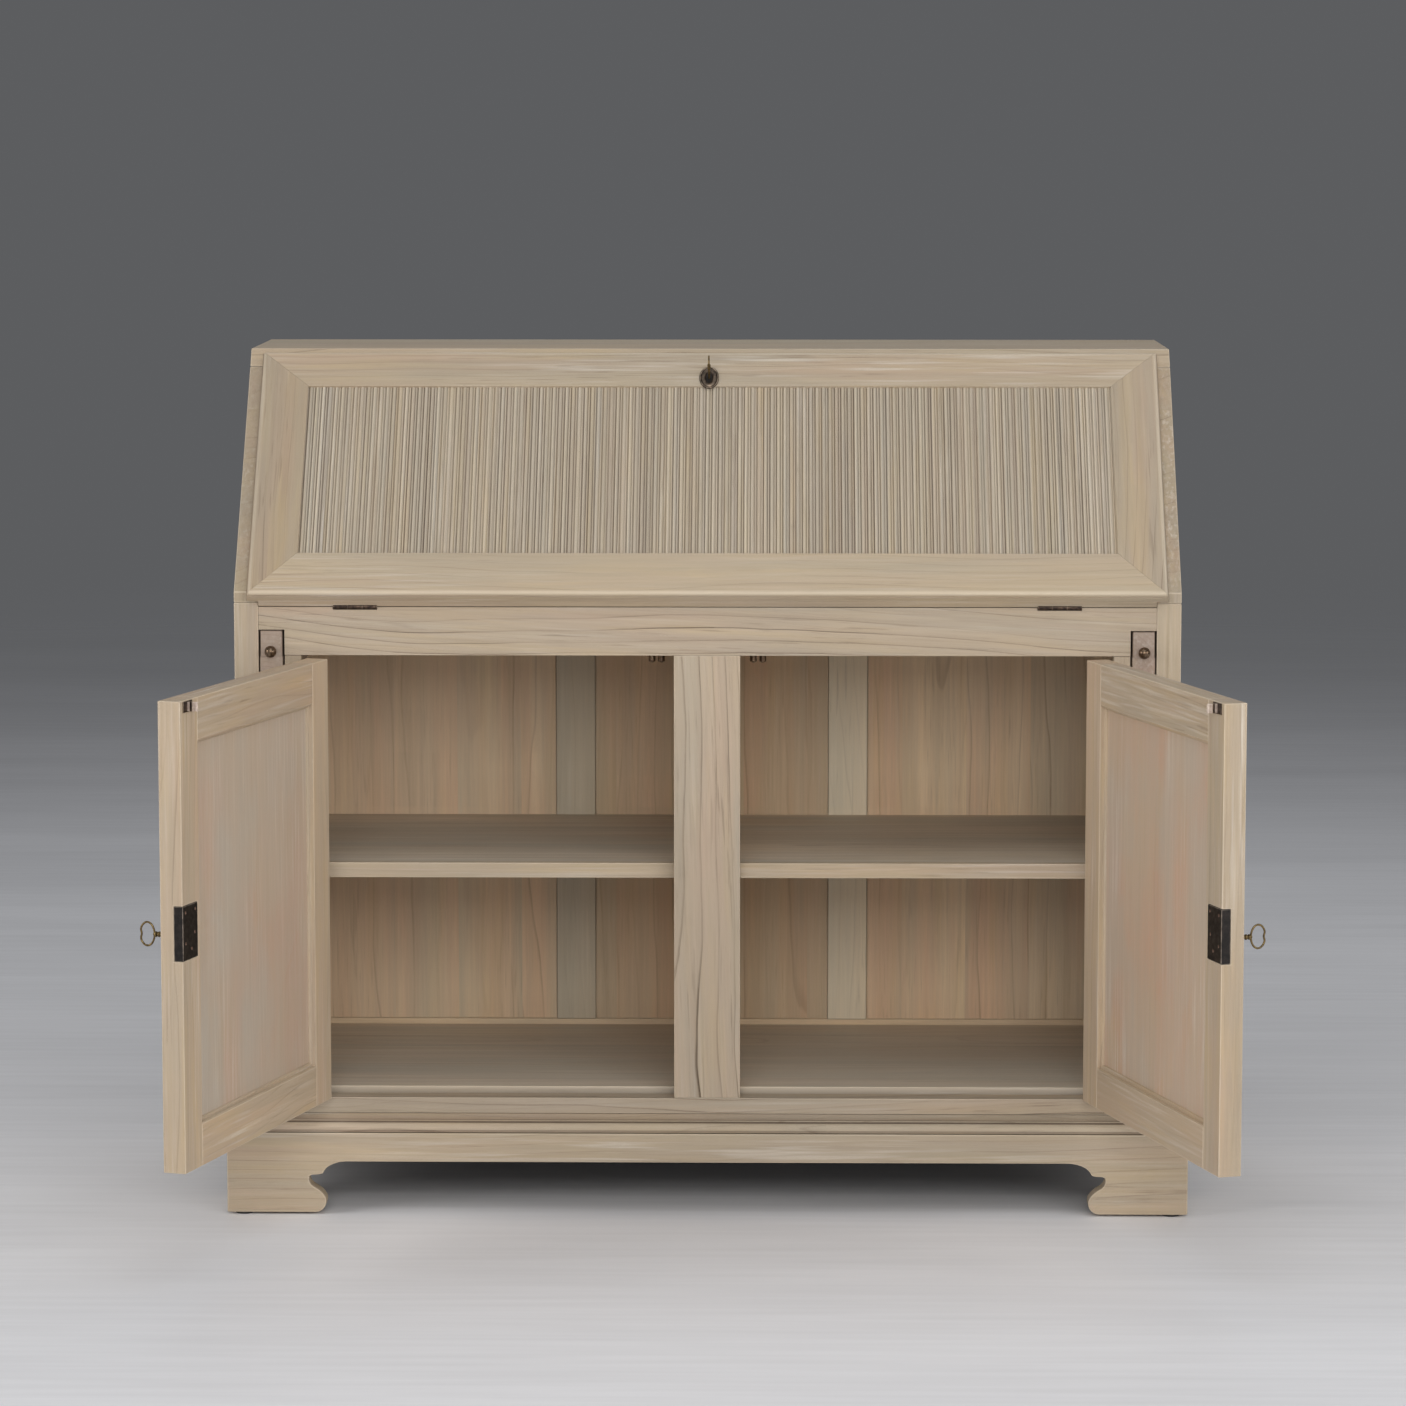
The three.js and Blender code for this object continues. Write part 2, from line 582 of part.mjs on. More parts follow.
// ---------------------------------------------------------------- doors
// Inside a door's group the pin is on the z axis, x runs from it along the closed door and y into the
// cupboard, so a point at distance u along the door has x = -side * u.
function door(parent, side, label) {
  const group = new THREE.Group();
  group.position.set(side * PIN_X, -PIN_PROUD, 0);
  group.rotation.z = side * DOOR_OPEN;
  parent.add(group);

  const across = (u0, u1) => [-side * u0, -side * u1];
  const startU = DOOR_EDGE_GAP;
  const endU = DOOR_EDGE_GAP + DOOR_WIDTH;
  const outerY = PIN_PROUD;
  const innerY = PIN_PROUD + DOOR_THICK;
  const [lowZ, highZ] = DOOR_Z;

  const lockWidth = 43;
  const lockY = [innerY - 11, innerY + 0.5];
  const lockZ = [395, 459];
  const keyU = endU - 21;
  const keyZ = 422;
  const openingU = [startU + DOOR_FRAME, endU - DOOR_FRAME];
  const openingZ = [lowZ + DOOR_FRAME, highZ - DOOR_FRAME];
  const bore = cylinderAlongY(4.2, [outerY - 1, innerY]).translate(-side * keyU, 0, keyZ);
  const holes = [
    box(across(...openingU), [outerY - 1, innerY + 1], openingZ),
    box(
      across(endU - lockWidth - FIT_GAP, endU + 1),
      [lockY[0] - FIT_GAP, innerY + 1],
      [lockZ[0] - FIT_GAP, lockZ[1] + FIT_GAP],
    ),
    bore,
  ];
  const board = box(across(startU, endU), [outerY, innerY], DOOR_Z);
  piece(`door_frame_${label}`, cut(board, holes), 'wood', group);

  const panel = box(
    across(openingU[0] + FIT_GAP, openingU[1] - FIT_GAP),
    [outerY + 3, innerY - 8],
    [openingZ[0] + FIT_GAP, openingZ[1] - FIT_GAP],
  );
  piece(`door_panel_${label}`, panel, 'wood', group);
  piece(`door_lock_${label}`, box(across(endU - lockWidth, endU), lockY, lockZ), 'iron', group);

  const oval = new THREE.Shape();
  oval.absellipse(0, 0, 11, 16, 0, 2 * Math.PI);
  const hole = new THREE.Path();
  hole.absellipse(0, 0, 4.2, 6, 0, 2 * Math.PI);
  oval.holes.push(hole);
  const plate = new THREE.ExtrudeGeometry(oval, { depth: 1.6, bevelEnabled: false, curveSegments: 16 });
  plate.rotateX(Math.PI / 2).translate(-side * keyU, outerY - 0.2, keyZ);
  piece(`door_escutcheon_${label}`, plate, 'bronze', group);

  const longKey = { inside: 16, bowY: -25.5, bowHalfLength: 10.2, bowHalfHeight: 15, wire: 3.4 };
  const key = piece(`door_key_${label}`, keyGeometry(longKey), 'brass', group);
  key.position.set(-side * keyU, outerY, keyZ);

  const barrelHalf = 30;
  const leafX = mirrored(side, [PIN_X + 0.1, PIN_X + 0.8]);
  for (const [i, z] of HINGE_ZS.entries()) {
    const level = ['low', 'high'][i];
    const barrel = cylinderAlongZ(4.5, [z - barrelHalf, z + barrelHalf]);
    barrel.translate(side * PIN_X, -PIN_PROUD, 0);
    const leaf = box(leafX, [-PIN_PROUD, 24], [z - barrelHalf, z + barrelHalf]);
    piece(`door_hinge_${label}_${level}`, joined([barrel, leaf]), 'bronze', parent);
  }
}

// ---------------------------------------------------------------- assembly
const assembly = new THREE.Group();
plinth(assembly);
baseMoulding(assembly);
glides(assembly);
lowerCarcass(assembly);
topRail(assembly);
upperCarcass(assembly);
gallery(assembly);
drawers(assembly);
lopers(assembly);
flap(assembly);
for (const { side, label } of SIDES) {
  door(assembly, side, label);
}

// The open doors reach further forward than the back reaches behind, so the footprint is centred here.
const bounds = new THREE.Box3().setFromObject(assembly, true);
assembly.position.set(0, -(bounds.min.y + bounds.max.y) / 2, -bounds.min.z);

const desk = new THREE.Group();
desk.add(assembly);

export default desk;
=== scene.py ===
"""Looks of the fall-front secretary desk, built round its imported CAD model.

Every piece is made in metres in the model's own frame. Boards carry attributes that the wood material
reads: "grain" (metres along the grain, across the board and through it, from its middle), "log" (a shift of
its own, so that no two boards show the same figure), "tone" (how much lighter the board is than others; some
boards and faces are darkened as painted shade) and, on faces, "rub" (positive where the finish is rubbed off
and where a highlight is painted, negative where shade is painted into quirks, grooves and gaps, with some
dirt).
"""

import json
import math
import random

import bmesh
import bpy
from mathutils import Matrix, Vector


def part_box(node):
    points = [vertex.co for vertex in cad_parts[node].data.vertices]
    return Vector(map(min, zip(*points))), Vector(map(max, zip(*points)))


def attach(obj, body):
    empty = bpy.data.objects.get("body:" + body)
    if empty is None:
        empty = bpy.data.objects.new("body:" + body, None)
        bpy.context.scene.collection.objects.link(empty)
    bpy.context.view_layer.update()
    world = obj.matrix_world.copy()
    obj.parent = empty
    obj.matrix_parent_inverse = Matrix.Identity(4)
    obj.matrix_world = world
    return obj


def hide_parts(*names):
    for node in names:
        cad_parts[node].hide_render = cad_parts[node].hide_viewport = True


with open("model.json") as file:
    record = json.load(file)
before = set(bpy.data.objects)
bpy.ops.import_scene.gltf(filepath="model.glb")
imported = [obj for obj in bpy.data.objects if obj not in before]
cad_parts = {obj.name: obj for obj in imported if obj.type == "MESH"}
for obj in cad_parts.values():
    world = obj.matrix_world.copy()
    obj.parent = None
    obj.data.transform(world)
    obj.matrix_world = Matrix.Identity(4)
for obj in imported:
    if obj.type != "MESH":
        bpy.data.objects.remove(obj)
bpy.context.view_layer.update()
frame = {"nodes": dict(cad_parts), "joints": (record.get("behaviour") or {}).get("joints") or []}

MM = 0.001
SIDES = {"left": -1, "right": 1}
NODES = frame["nodes"]
JOINTS = {joint["name"]: joint for joint in frame["joints"]}

# ---------------------------------------------------------------- frames of the moving parts
FLAP_HINGE = Vector(JOINTS["flap_hinge"]["pos_m"])
FLAP_SLOPE = math.radians(180 - JOINTS["flap_hinge"]["range_deg"][1])
FLAP_PLACE = Matrix.Translation(FLAP_HINGE) @ Matrix.Rotation(FLAP_SLOPE, 4, "X")
DOOR_OPEN = math.radians(-JOINTS["door_right_hinge"]["range_deg"][0])
UPRIGHT = Matrix.Rotation(math.radians(90), 4, "X")  # stands a turned piece, made along y, up along z


def door_place(label):
    """From a closed door's own frame to where it stands. In its own frame the pin is on z, y goes into the
    cupboard and x is as in the model."""
    pin = JOINTS[f"door_{label}_hinge"]["pos_m"]
    turn = Matrix.Rotation(SIDES[label] * DOOR_OPEN, 4, "Z")
    return Matrix.Translation((pin[0], pin[1], 0)) @ turn


def local_box(node, place):
    """Lowest and highest corner of a CAD node in the frame that place leads from."""
    back = place.inverted()
    points = [back @ vertex.co for vertex in NODES[node].data.vertices]
    low = Vector(min(p[axis] for p in points) for axis in range(3))
    high = Vector(max(p[axis] for p in points) for axis in range(3))
    return low, high


def in_mm(points):
    """Points given in millimetres, as metres."""
    return [tuple(value * MM for value in point) for point in points]


# ---------------------------------------------------------------- meshes
SHARP = math.radians(25)  # arrises over this angle are rounded
CREASE = math.radians(48)  # edges over this angle stay creased in the shading
FLAT = math.radians(1)  # faces that meet at less than this are one flat face
WELD = 0.001 * MM  # points closer than this are one point
EASE = 1.0 * MM  # how far the arrises of a board are rounded
JOINT_GAP = 0.15 * MM
FORWARD = -0.1  # a normal with less y than this looks forward
FLATTEST = 100  # modifier weight that lets the large flat faces decide the shading


def add(name, data):
    """An object of the scene."""
    made = bpy.data.objects.new(name, data)
    bpy.context.scene.collection.objects.link(made)
    return made


def as_mesh(bm, name):
    """Blender's own mesh from bm, which is used up."""
    mesh = bpy.data.meshes.new(name)
    bm.to_mesh(mesh)
    bm.free()
    return mesh


def box_mesh(low, high):
    bm = bmesh.new()
    bmesh.ops.create_cube(bm, size=1)
    size = [h - l for l, h in zip(low, high)]
    middle = [(h + l) / 2 for l, h in zip(low, high)]
    bmesh.ops.scale(bm, vec=size, verts=bm.verts)
    bmesh.ops.translate(bm, vec=middle, verts=bm.verts)
    return bm


def loft(rings, rubs_and_painted_light=None, closed=False):
    """A solid through rings of equally many points. It is capped at both ends, or its last ring joins the
    first one. rubs gives the rub of the strip after each point of a ring: rubbed wear and painted highlight
    above nought, painted shade with some dirt below."""
    bm = bmesh.new()
    rub_and_painted_light = bm.faces.layers.float.new("rub_and_painted_light")
    made = [[bm.verts.new(point) for point in ring] for ring in rings]
    count = len(rings[0])
    pairs = list(zip(made, made[1:]))
    if closed:
        pairs.append((made[-1], made[0]))
    else:
        bm.faces.new(made[0])
        bm.faces.new(made[-1])
    for first, second in pairs:
        for i in range(count):
            k = (i + 1) % count
            face = bm.faces.new((first[i], first[k], second[k], second[i]))
            face[rub_and_painted_light] = rubs_and_painted_light[i] if rubs_and_painted_light else 0.0
    bmesh.ops.recalc_face_normals(bm, faces=bm.faces)
    return bm


def lathe_mesh(profile, steps=40):
    """Turns (radius, along) points round the y axis; the profile starts and ends on the axis."""
    bm = bmesh.new()
    start = bm.verts.new((0, profile[0][1], 0))
    end = bm.verts.new((0, profile[-1][1], 0))
    rings = []
    for radius, along in profile[1:-1]:
        ring = []
        for i in range(steps):
            angle = 2 * math.pi * i / steps
            ring.append(bm.verts.new((radius * math.cos(angle), along, radius * math.sin(angle))))
        rings.append(ring)
    for i in range(steps):
        k = (i + 1) % steps
        bm.faces.new((start, rings[0][i], rings[0][k]))
        bm.faces.new((end, rings[-1][k], rings[-1][i]))
        for first, second in zip(rings, rings[1:]):
            bm.faces.new((first[i], second[i], second[k], first[k]))
    bmesh.ops.recalc_face_normals(bm, faces=bm.faces)
    return bm


def cad_mesh(node):
    """A copy of a CAD node's shape with its flat faces whole again."""
    bm = bmesh.new()
    bm.from_mesh(NODES[node].data)
    bmesh.ops.remove_doubles(bm, verts=bm.verts, dist=WELD)
    bmesh.ops.dissolve_limit(bm, angle_limit=FLAT, verts=bm.verts, edges=bm.edges)
    return bm


def merge(meshes):
    """One mesh from several."""
    whole = bmesh.new()
    for bm in meshes:
        part = as_mesh(bm, "part")
        whole.from_mesh(part)
        bpy.data.meshes.remove(part)
    return whole


def cut(bm, tool):
    """bm less tool, by a boolean modifier that is applied at once."""
    body, knife = (add(name, as_mesh(mesh, name)) for name, mesh in (("cut_body", bm), ("cut_tool", tool)))
    modifier = body.modifiers.new("cut", "BOOLEAN")
    modifier.operation = "DIFFERENCE"
    modifier.solver = "EXACT"
    modifier.object = knife
    bpy.context.view_layer.update()
    result = bmesh.new()
    result.from_mesh(body.evaluated_get(bpy.context.evaluated_depsgraph_get()).to_mesh())
    bmesh.ops.dissolve_limit(result, angle_limit=FLAT, verts=result.verts, edges=result.edges)
    for made in (body, knife):
        data = made.data
        bpy.data.objects.remove(made)
        bpy.data.meshes.remove(data)
    return result


def ease(bm, width=EASE, segments=2, rub_and_painted_light=1.0, wanted=None):
    """Rounds the sharp edges whose middle is wanted, and marks the new faces with a rub: above nought as
    rubbed wear, below nought as painted shade.
    """
    layer = bm.faces.layers.float.get("rub_and_painted_light") or bm.faces.layers.float.new("rub_and_painted_light")
    sharp = []
    for edge in bm.edges:
        middle = (edge.verts[0].co + edge.verts[1].co) / 2
        is_arris = len(edge.link_faces) == 2 and edge.calc_face_angle(0) > SHARP
        if is_arris and (wanted is None or wanted(middle)):
            sharp.append(edge)
    made = bmesh.ops.bevel(bm, geom=sharp, offset=width, segments=segments, profile=0.5, affect="EDGES",
                           clamp_overlap=True)
    for face in made["faces"]:
        face[layer] = rub_and_painted_light
    return bm


def put(bm, name, material, body="carcass", nodes=(), place=None, front=None):
    """Makes the object, places it, hangs it on the empty of the body that it rides on, and hides the CAD
    parts that it stands for. front is the material of the faces that look forward, along -y, before it is
    placed."""
    bm.normal_update()
    for face in bm.faces:
        face.smooth = True
        face.material_index = 1 if front and face.normal.y < FORWARD else 0
    for edge in bm.edges:
        edge.smooth = len(edge.link_faces) == 2 and edge.calc_face_angle(0) < CREASE
    mesh = as_mesh(bm, name)
    mesh.materials.append(material)
    if front:
        mesh.materials.append(front)
    made = add(name, mesh)
    if place is not None:
        made.matrix_world = place
    weighted = made.modifiers.new("flat_faces", "WEIGHTED_NORMAL")
    weighted.keep_sharp = True
    weighted.weight = FLATTEST
    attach(made, body)
    if nodes:
        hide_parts(*nodes)


# ---------------------------------------------------------------- grain
TONES = {  # boards that are lighter or darker than the rest
    "cheek_left": -0.1,
    "cheek_right": -0.06,
    "flap_stile_left": -0.15,
    "flap_stile_right": -0.06,
    "front_stile_left": -0.19,
    "front_stile_right": -0.06,
    "centre_stile": 0.03,
    "plinth_front": -0.02,
    "door_left_hinge_stile": 0.1,
    "door_right_hinge_stile": 0.08,
    "lower_back_panel_left": 0.06,
    # painted shade: the middle back panel is darkened for the shadow that the centre partition casts on it
    "lower_back_panel_middle": -0.12,
    "lower_back_panel_right": 0.05,
    "lower_back_muntin_left": -0.28,
}
FACE_TONE_AND_PAINTED_SHADE = {  # of a board's two faces, the one at the lower coordinate first; the faces in the dark under the desk carry painted shade, the others a small tone
    "bottom_board": (-1.0, 0.04),
    "plinth_back": (-1.1, -0.05),
}
HEARTS = {  # metres from the board's middle to the log's, across and through the board
    "top_rail": (-0.075, 0.04),
    "centre_stile": (0.045, 0.08),
    "bottom_rail": (0.06, 0.05),
    "plinth_front": (0.08, 0.05),
    "base_moulding_front": (0.01, 0.05),
    "flap_rail_bottom": (0.10, 0.03),
    "flap_rail_top": (-0.10, 0.02),
    "flap_stile_left": (0.09, 0.04),
    "flap_stile_right": (-0.09, 0.04),
    "loper_left": (-0.02, 0.034),
    "loper_right": (0.02, 0.034),
}
SLOPES = {"top_rail": 0.045, "bottom_rail": -0.02, "centre_stile": 0.03}  # of the grain to the board


def cut_from_log(bm, name, along, middle=None):
    """Gives the mesh its grain. along names the model's axes in the order length, width, thickness."""
    grain = bm.verts.layers.float_vector.new("grain")
    log = bm.verts.layers.float_vector.new("log")
    tone = bm.verts.layers.float.new("tone")
    axes = ["xyz".index(letter) for letter in along]
    if middle is None:
        corners = [[pick(v.co[axis] for v in bm.verts) for axis in range(3)] for pick in (min, max)]
        middle = [(a + b) / 2 for a, b in zip(*corners)]
    luck = random.Random(name)
    heart = HEARTS.get(name)
    if heart is None:
        heart = (luck.choice((-1, 1)) * luck.uniform(40, 130) * MM, luck.uniform(15, 60) * MM)
    shift = Vector((luck.uniform(2, 60), *heart))
    for vertex in bm.verts:
        length, width, thickness = (vertex.co[axis] - middle[axis] for axis in axes)
        vertex[grain] = (length, width + length * SLOPES.get(name, 0.0), thickness)
        vertex[log] = shift
        vertex[tone] = TONES.get(name, 0.0) + FACE_TONE_AND_PAINTED_SHADE.get(name, (0.0, 0.0))[thickness > 0]
    return bm


def board(name, low, high, along, material, body="carcass", nodes=(), place=None, width=EASE, rub_and_painted_light=1.0,
          front=None):
    """A plain board with eased edges."""
    bm = cut_from_log(ease(box_mesh(low, high), width, rub_and_painted_light=rub_and_painted_light), name, along)
    put(bm, name, material, body, nodes, place, front)


def cad_board(node, along, material, width=EASE, rub_and_painted_light=1.0):
    """A board of the carcass that keeps its CAD outline, with eased edges."""
    bm = cut_from_log(ease(cad_mesh(node), width, rub_and_painted_light=rub_and_painted_light), node, along)
    put(bm, f"{node}_wood", material, nodes=(node,))


class Shader:
    """Short calls that build one material's nodes."""

    def __init__(self, name):
        self.material = bpy.data.materials.new(name)
        self.material.use_nodes = True
        self.tree = self.material.node_tree
        self.surface = self.tree.nodes["Principled BSDF"]

    def node(self, kind, inputs=None, **settings):
        node = self.tree.nodes.new(f"ShaderNode{kind}")
        for key, value in settings.items():
            setattr(node, key, value)
        for key, value in (inputs or {}).items():
            self.feed(node.inputs[key], value)
        return node

    def feed(self, socket, value):
        if isinstance(value, bpy.types.NodeSocket):
            self.tree.links.new(value, socket)
        else:
            socket.default_value = value

    def attribute(self, name, output="Vector"):
        return self.node("Attribute", attribute_name=name).outputs[output]

    def math(self, operation, a, b=0.0, clamp=False):
        return self.node("Math", {0: a, 1: b}, operation=operation, use_clamp=clamp).outputs[0]

    def plus(self, a, b):
        return self.math("ADD", a, b)

    def minus(self, a, b):
        return self.math("SUBTRACT", a, b)

    def times(self, a, b, clamp=False):
        return self.math("MULTIPLY", a, b, clamp)

    def vector(self, operation, a, b=(0, 0, 0)):
        return self.node("VectorMath", {0: a, 1: b}, operation=operation).outputs[0]

    def parts(self, vector):
        return self.node("SeparateXYZ", {0: vector}).outputs

    def joined(self, x, y, z):
        return self.node("CombineXYZ", {0: x, 1: y, 2: z}).outputs[0]

    def noise(self, vector, stretch, detail=2.0, roughness=0.5, output="Fac"):
        where = self.vector("MULTIPLY", vector, stretch)
        inputs = {"Vector": where, "Scale": 1.0, "Detail": detail, "Roughness": roughness}
        return self.node("TexNoise", inputs).outputs[output]

    def remap(self, value, low, high, to_low=0.0, to_high=1.0, smooth=False):
        kind = "SMOOTHSTEP" if smooth else "LINEAR"
        inputs = {"Value": value, "From Min": low, "From Max": high, "To Min": to_low, "To Max": to_high}
        return self.node("MapRange", inputs, interpolation_type=kind, clamp=True).outputs["Result"]

    def mix(self, amount, a, b, blend="MIX"):
        node = self.node("Mix", data_type="RGBA", blend_type=blend)
        for socket, value in zip((node.inputs[0], node.inputs[6], node.inputs[7]), (amount, a, b)):
            self.feed(socket, value)
        return node.outputs[2]

    def bump(self, height, distance, strength=1.0):
        inputs = {"Height": height, "Distance": distance, "Strength": strength}
        self.feed(self.surface.inputs["Normal"], self.node("Bump", inputs).outputs[0])

    def finish(self, slot, **values):
        for key, value in values.items():
            self.feed(self.surface.inputs[key.replace("_", " ")], value)
        return self.material


def srgb(red, green, blue):
    """A colour given in screen values, 0 to 255, as the linear colour that the nodes work with."""
    def linear(value):
        value /= 255
        return value / 12.92 if value <= 0.04045 else ((value + 0.055) / 1.055) ** 2.4
    return (linear(red), linear(green), linear(blue), 1.0)


LIME = srgb(232, 226, 216)
# colours of rubbed arrises and painted highlights, then of painted shade with some dirt
WORN_AND_HIGHLIGHT = srgb(226, 212, 190)
GRIME_AND_SHADE = srgb(84, 68, 54)
HALF = (0.5, 0.5, 0.5)
FIGURES = {  # how often each pattern of the wood repeats in a metre, along and across the grain
    "bend": (1.5, 3.0),
    "ripple": (7.0, 30.0),
    "ring_zone": (3.0, 25.0),
    "broad": (0.7, 13.0),
    "streak": (2.0, 85.0),
    "fibre": (9.0, 330.0),
    "dash": (16.0, 340.0),
    "dash_zone": (2.0, 24.0),
    "lime": (7.0, 210.0),
    "lime_zone": (2.2, 11.0),
}
TINT_PATCHES = (  # of rosy, gold and grey: shift in the log, fineness, where a patch starts and is full
    ((7.0, 0.3, 0.1), 1.0, (0.44, 0.62)),
    ((11.0, 0.5, 0.8), 2.6, (0.48, 0.64)),
    ((3.0, 0.7, 0.5), 1.1, (0.45, 0.63)),
)
RING_BEND = (0.0, 0.085, 0.085)  # metres that the rings wander from their cylinder
STRIP_SHIFT = (20.0, 0.04, 0.02)  # metres that a glued strip may lie from its neighbour in the log
LIME_SHIFT = (1.0, 0.9, 0.2)


def figure(s, place, name, detail=2.0, roughness=0.5, output="Fac"):
    along, across = FIGURES[name]
    return s.noise(place, (along, across, across), detail, roughness, output)


def growth_rings(s, place, gap, even):
    """How dark the late wood is: each year darkens softly and ends in a thin line. The rings are cylinders
    round the log's middle, which wanders, so boards show long curved lines. even is the faintest ring."""
    wander = s.vector("SUBTRACT", figure(s, place, "bend", 1.5, output="Color"), HALF)
    bent = s.vector("ADD", place, s.vector("MULTIPLY", wander, RING_BEND))
    _, ring_y, ring_z = s.parts(bent)
    squared = s.plus(s.times(ring_y, ring_y), s.times(ring_z, ring_z))
    ripple = s.remap(figure(s, place, "ripple"), 0.0, 1.0, -0.2, 0.2)
    radius = s.plus(s.math("DIVIDE", s.math("SQRT", squared), gap), ripple)
    year = s.math("FRACT", radius)
    luck = s.node("TexWhiteNoise", {"W": s.math("FLOOR", radius)}, noise_dimensions="1D").outputs["Value"]
    soft = s.math("POWER", s.remap(year, 0.1, 0.95), 2.5)
    thin = s.remap(year, 0.86, 0.95, smooth=True)
    late = s.plus(s.times(soft, 0.22), s.times(thin, 0.78))
    late = s.times(late, s.remap(year, 1.0, 0.97))
    late = s.times(late, s.remap(luck, 0.0, 1.0, even, 1.0))
    return s.times(late, s.remap(figure(s, place, "ring_zone"), 0.36, 0.56, even, 1.0))


def wood(name, colours, slot="limed_wood", tints=(0.6, 0.5, 0.55), patch=(1.4, 18.0), contrast=0.5,
         ring_gap=11 * MM, ring_strength=0.6, ring_even=0.15, glued=0.125, glued_tone=0.06, lime=0.25,
         fleck_strength=0.4):
    """Limed open-grained wood. colours are the light and the deep wood, the rosy, the gold and the grey tint,
    and the lines. tints are the shares of the three tints, patch is how many patches of them there are in a
    metre, along and across; glued is the width of the strips of wide panels."""
    light, deep, rosy, gold, grey, line = (srgb(*colour) for colour in colours)
    s = Shader(name)
    grain = s.attribute("grain")
    across = s.parts(grain)[1]
    strip = s.math("FLOOR", s.plus(s.math("DIVIDE", across, glued), 0.5))
    strip_key = s.vector("ADD", s.attribute("log"), s.joined(strip, strip, 0.0))
    luck = s.node("TexWhiteNoise", {"Vector": strip_key}, noise_dimensions="3D").outputs["Color"]
    own_log = s.vector("MULTIPLY", s.vector("SUBTRACT", luck, HALF), STRIP_SHIFT)
    place = s.vector("ADD", s.vector("ADD", grain, s.attribute("log")), own_log)
    tone, strip_rosy, strip_grey = s.parts(luck)
    late = growth_rings(s, place, ring_gap, ring_even)

    # colour, in long streaks of three widths, with patches of the three tints
    broad = figure(s, place, "broad")
    streak = figure(s, place, "streak", 3.0, 0.6)
    fibre = figure(s, place, "fibre", 3.0, 0.7)
    blend = s.plus(s.times(broad, 0.65), s.times(streak, 0.35))
    colour = s.mix(s.remap(blend, 0.5 - 0.12 / contrast, 0.5 + 0.12 / contrast), deep, light)
    strip_shares = (strip_rosy, tone, strip_grey)
    for tint, share, strip_share, patches in zip((rosy, gold, grey), tints, strip_shares, TINT_PATCHES):
        shift, fine, (start, full) = patches
        stretch = (patch[0] * fine, patch[1] * fine, patch[1] * fine)
        mask = s.remap(s.noise(s.vector("ADD", place, shift), stretch, 3.0), start, full)
        own = s.plus(s.times(mask, 0.7), s.times(strip_share, 0.3))
        colour = s.mix(s.times(own, share), colour, tint)
    shade = s.remap(tone, 0.0, 1.0, 1.0 - glued_tone, 1.0 + glued_tone * 0.6)
    shade = s.times(shade, s.plus(s.attribute("tone", "Fac"), 1.0))
    shade = s.times(shade, s.remap(streak, 0.3, 0.7, 1.0 - 0.07 * contrast, 1.0 + 0.06 * contrast))
    shade = s.times(shade, s.remap(fibre, 0.25, 0.75, 0.91, 1.07))
    colour = s.mix(1.0, colour, s.joined(shade, shade, shade), "MULTIPLY")
    colour = s.mix(s.times(late, ring_strength), colour, line)

    # open pores, short dark dashes, and lime left in others
    dash_zone = s.remap(figure(s, place, "dash_zone", 1.0), 0.44, 0.62)
    fleck = s.times(s.remap(figure(s, place, "dash", 1.5), 0.6, 0.7), dash_zone)
    colour = s.mix(s.times(fleck, fleck_strength), colour, line)
    limed = figure(s, s.vector("ADD", place, LIME_SHIFT), "lime", 3.0)
    lime_zone = s.remap(figure(s, place, "lime_zone"), 0.42, 0.66)
    colour = s.mix(s.times(s.remap(limed, 0.5, 0.68, 0.0, lime), lime_zone), colour, LIME)

    # arrises lose some of the tone and take painted highlights; quirks, grooves and gaps take painted shade
    # with some dirt
    rub_and_painted_light = s.attribute("rub_and_painted_light", "Fac")
    worn = s.times(rub_and_painted_light, s.remap(broad, 0.35, 0.6, 0.15, 0.45), clamp=True)
    colour = s.mix(worn, colour, WORN_AND_HIGHLIGHT)
    grime_and_shade = s.times(rub_and_painted_light, s.remap(broad, 0.35, 0.6, -0.8, -0.6), clamp=True)
    colour = s.mix(grime_and_shade, colour, GRIME_AND_SHADE)

    height = s.minus(s.times(fibre, 0.6), s.times(fleck, 0.6))
    s.bump(s.minus(height, s.times(late, 0.35)), 0.3 * MM, 0.7)
    roughness = s.remap(s.plus(fibre, s.times(late, 0.4)), 0.3, 1.0, 0.52, 0.72)
    return s.finish(slot, Base_Color=colour, Roughness=roughness, Specular_IOR_Level=0.3)


def metal(name, colours, slot, roughness, metallic, patches):
    """Aged metal. colours are its patina, the metal where it is worn, the spots and the rubbed edges;
    patches is how many worn patches there are in a metre."""
    body, worn, spots, bright = (srgb(*colour) for colour in colours)
    s = Shader(name)
    where = s.node("TexCoord").outputs["Object"]
    cloud = s.noise(where, (patches, patches, patches), 4.0, 0.6)
    grit = s.noise(where, (patches * 9, patches * 9, patches * 9), 2.0)
    colour = s.mix(s.remap(cloud, 0.42, 0.66), body, worn)
    colour = s.mix(s.remap(grit, 0.6, 0.72, 0.0, 0.6), colour, spots)
    rubbed = s.times(s.attribute("rub_and_painted_light", "Fac"), s.remap(cloud, 0.35, 0.6, 0.3, 0.9), clamp=True)
    colour = s.mix(rubbed, colour, bright)
    s.bump(s.plus(cloud, s.times(grit, 0.4)), 0.15 * MM, 0.5)
    rough = s.remap(cloud, 0.3, 0.7, roughness + 0.12, roughness - 0.06)
    return s.finish(slot, Base_Color=colour, Metallic=metallic, Roughness=rough)


def glide_plastic():
    s = Shader("glide_moulded_plastic")
    grit = s.noise(s.node("TexCoord").outputs["Object"], (700.0, 700.0, 700.0), 2.0)
    colour = s.mix(s.remap(grit, 0.4, 0.6), srgb(38, 35, 33), srgb(54, 50, 47))
    s.bump(grit, 0.1 * MM, 0.4)
    return s.finish("glide_plastic", Base_Color=colour, Roughness=s.remap(grit, 0.3, 0.7, 0.55, 0.75))


REED_PITCH = 8.16 * MM

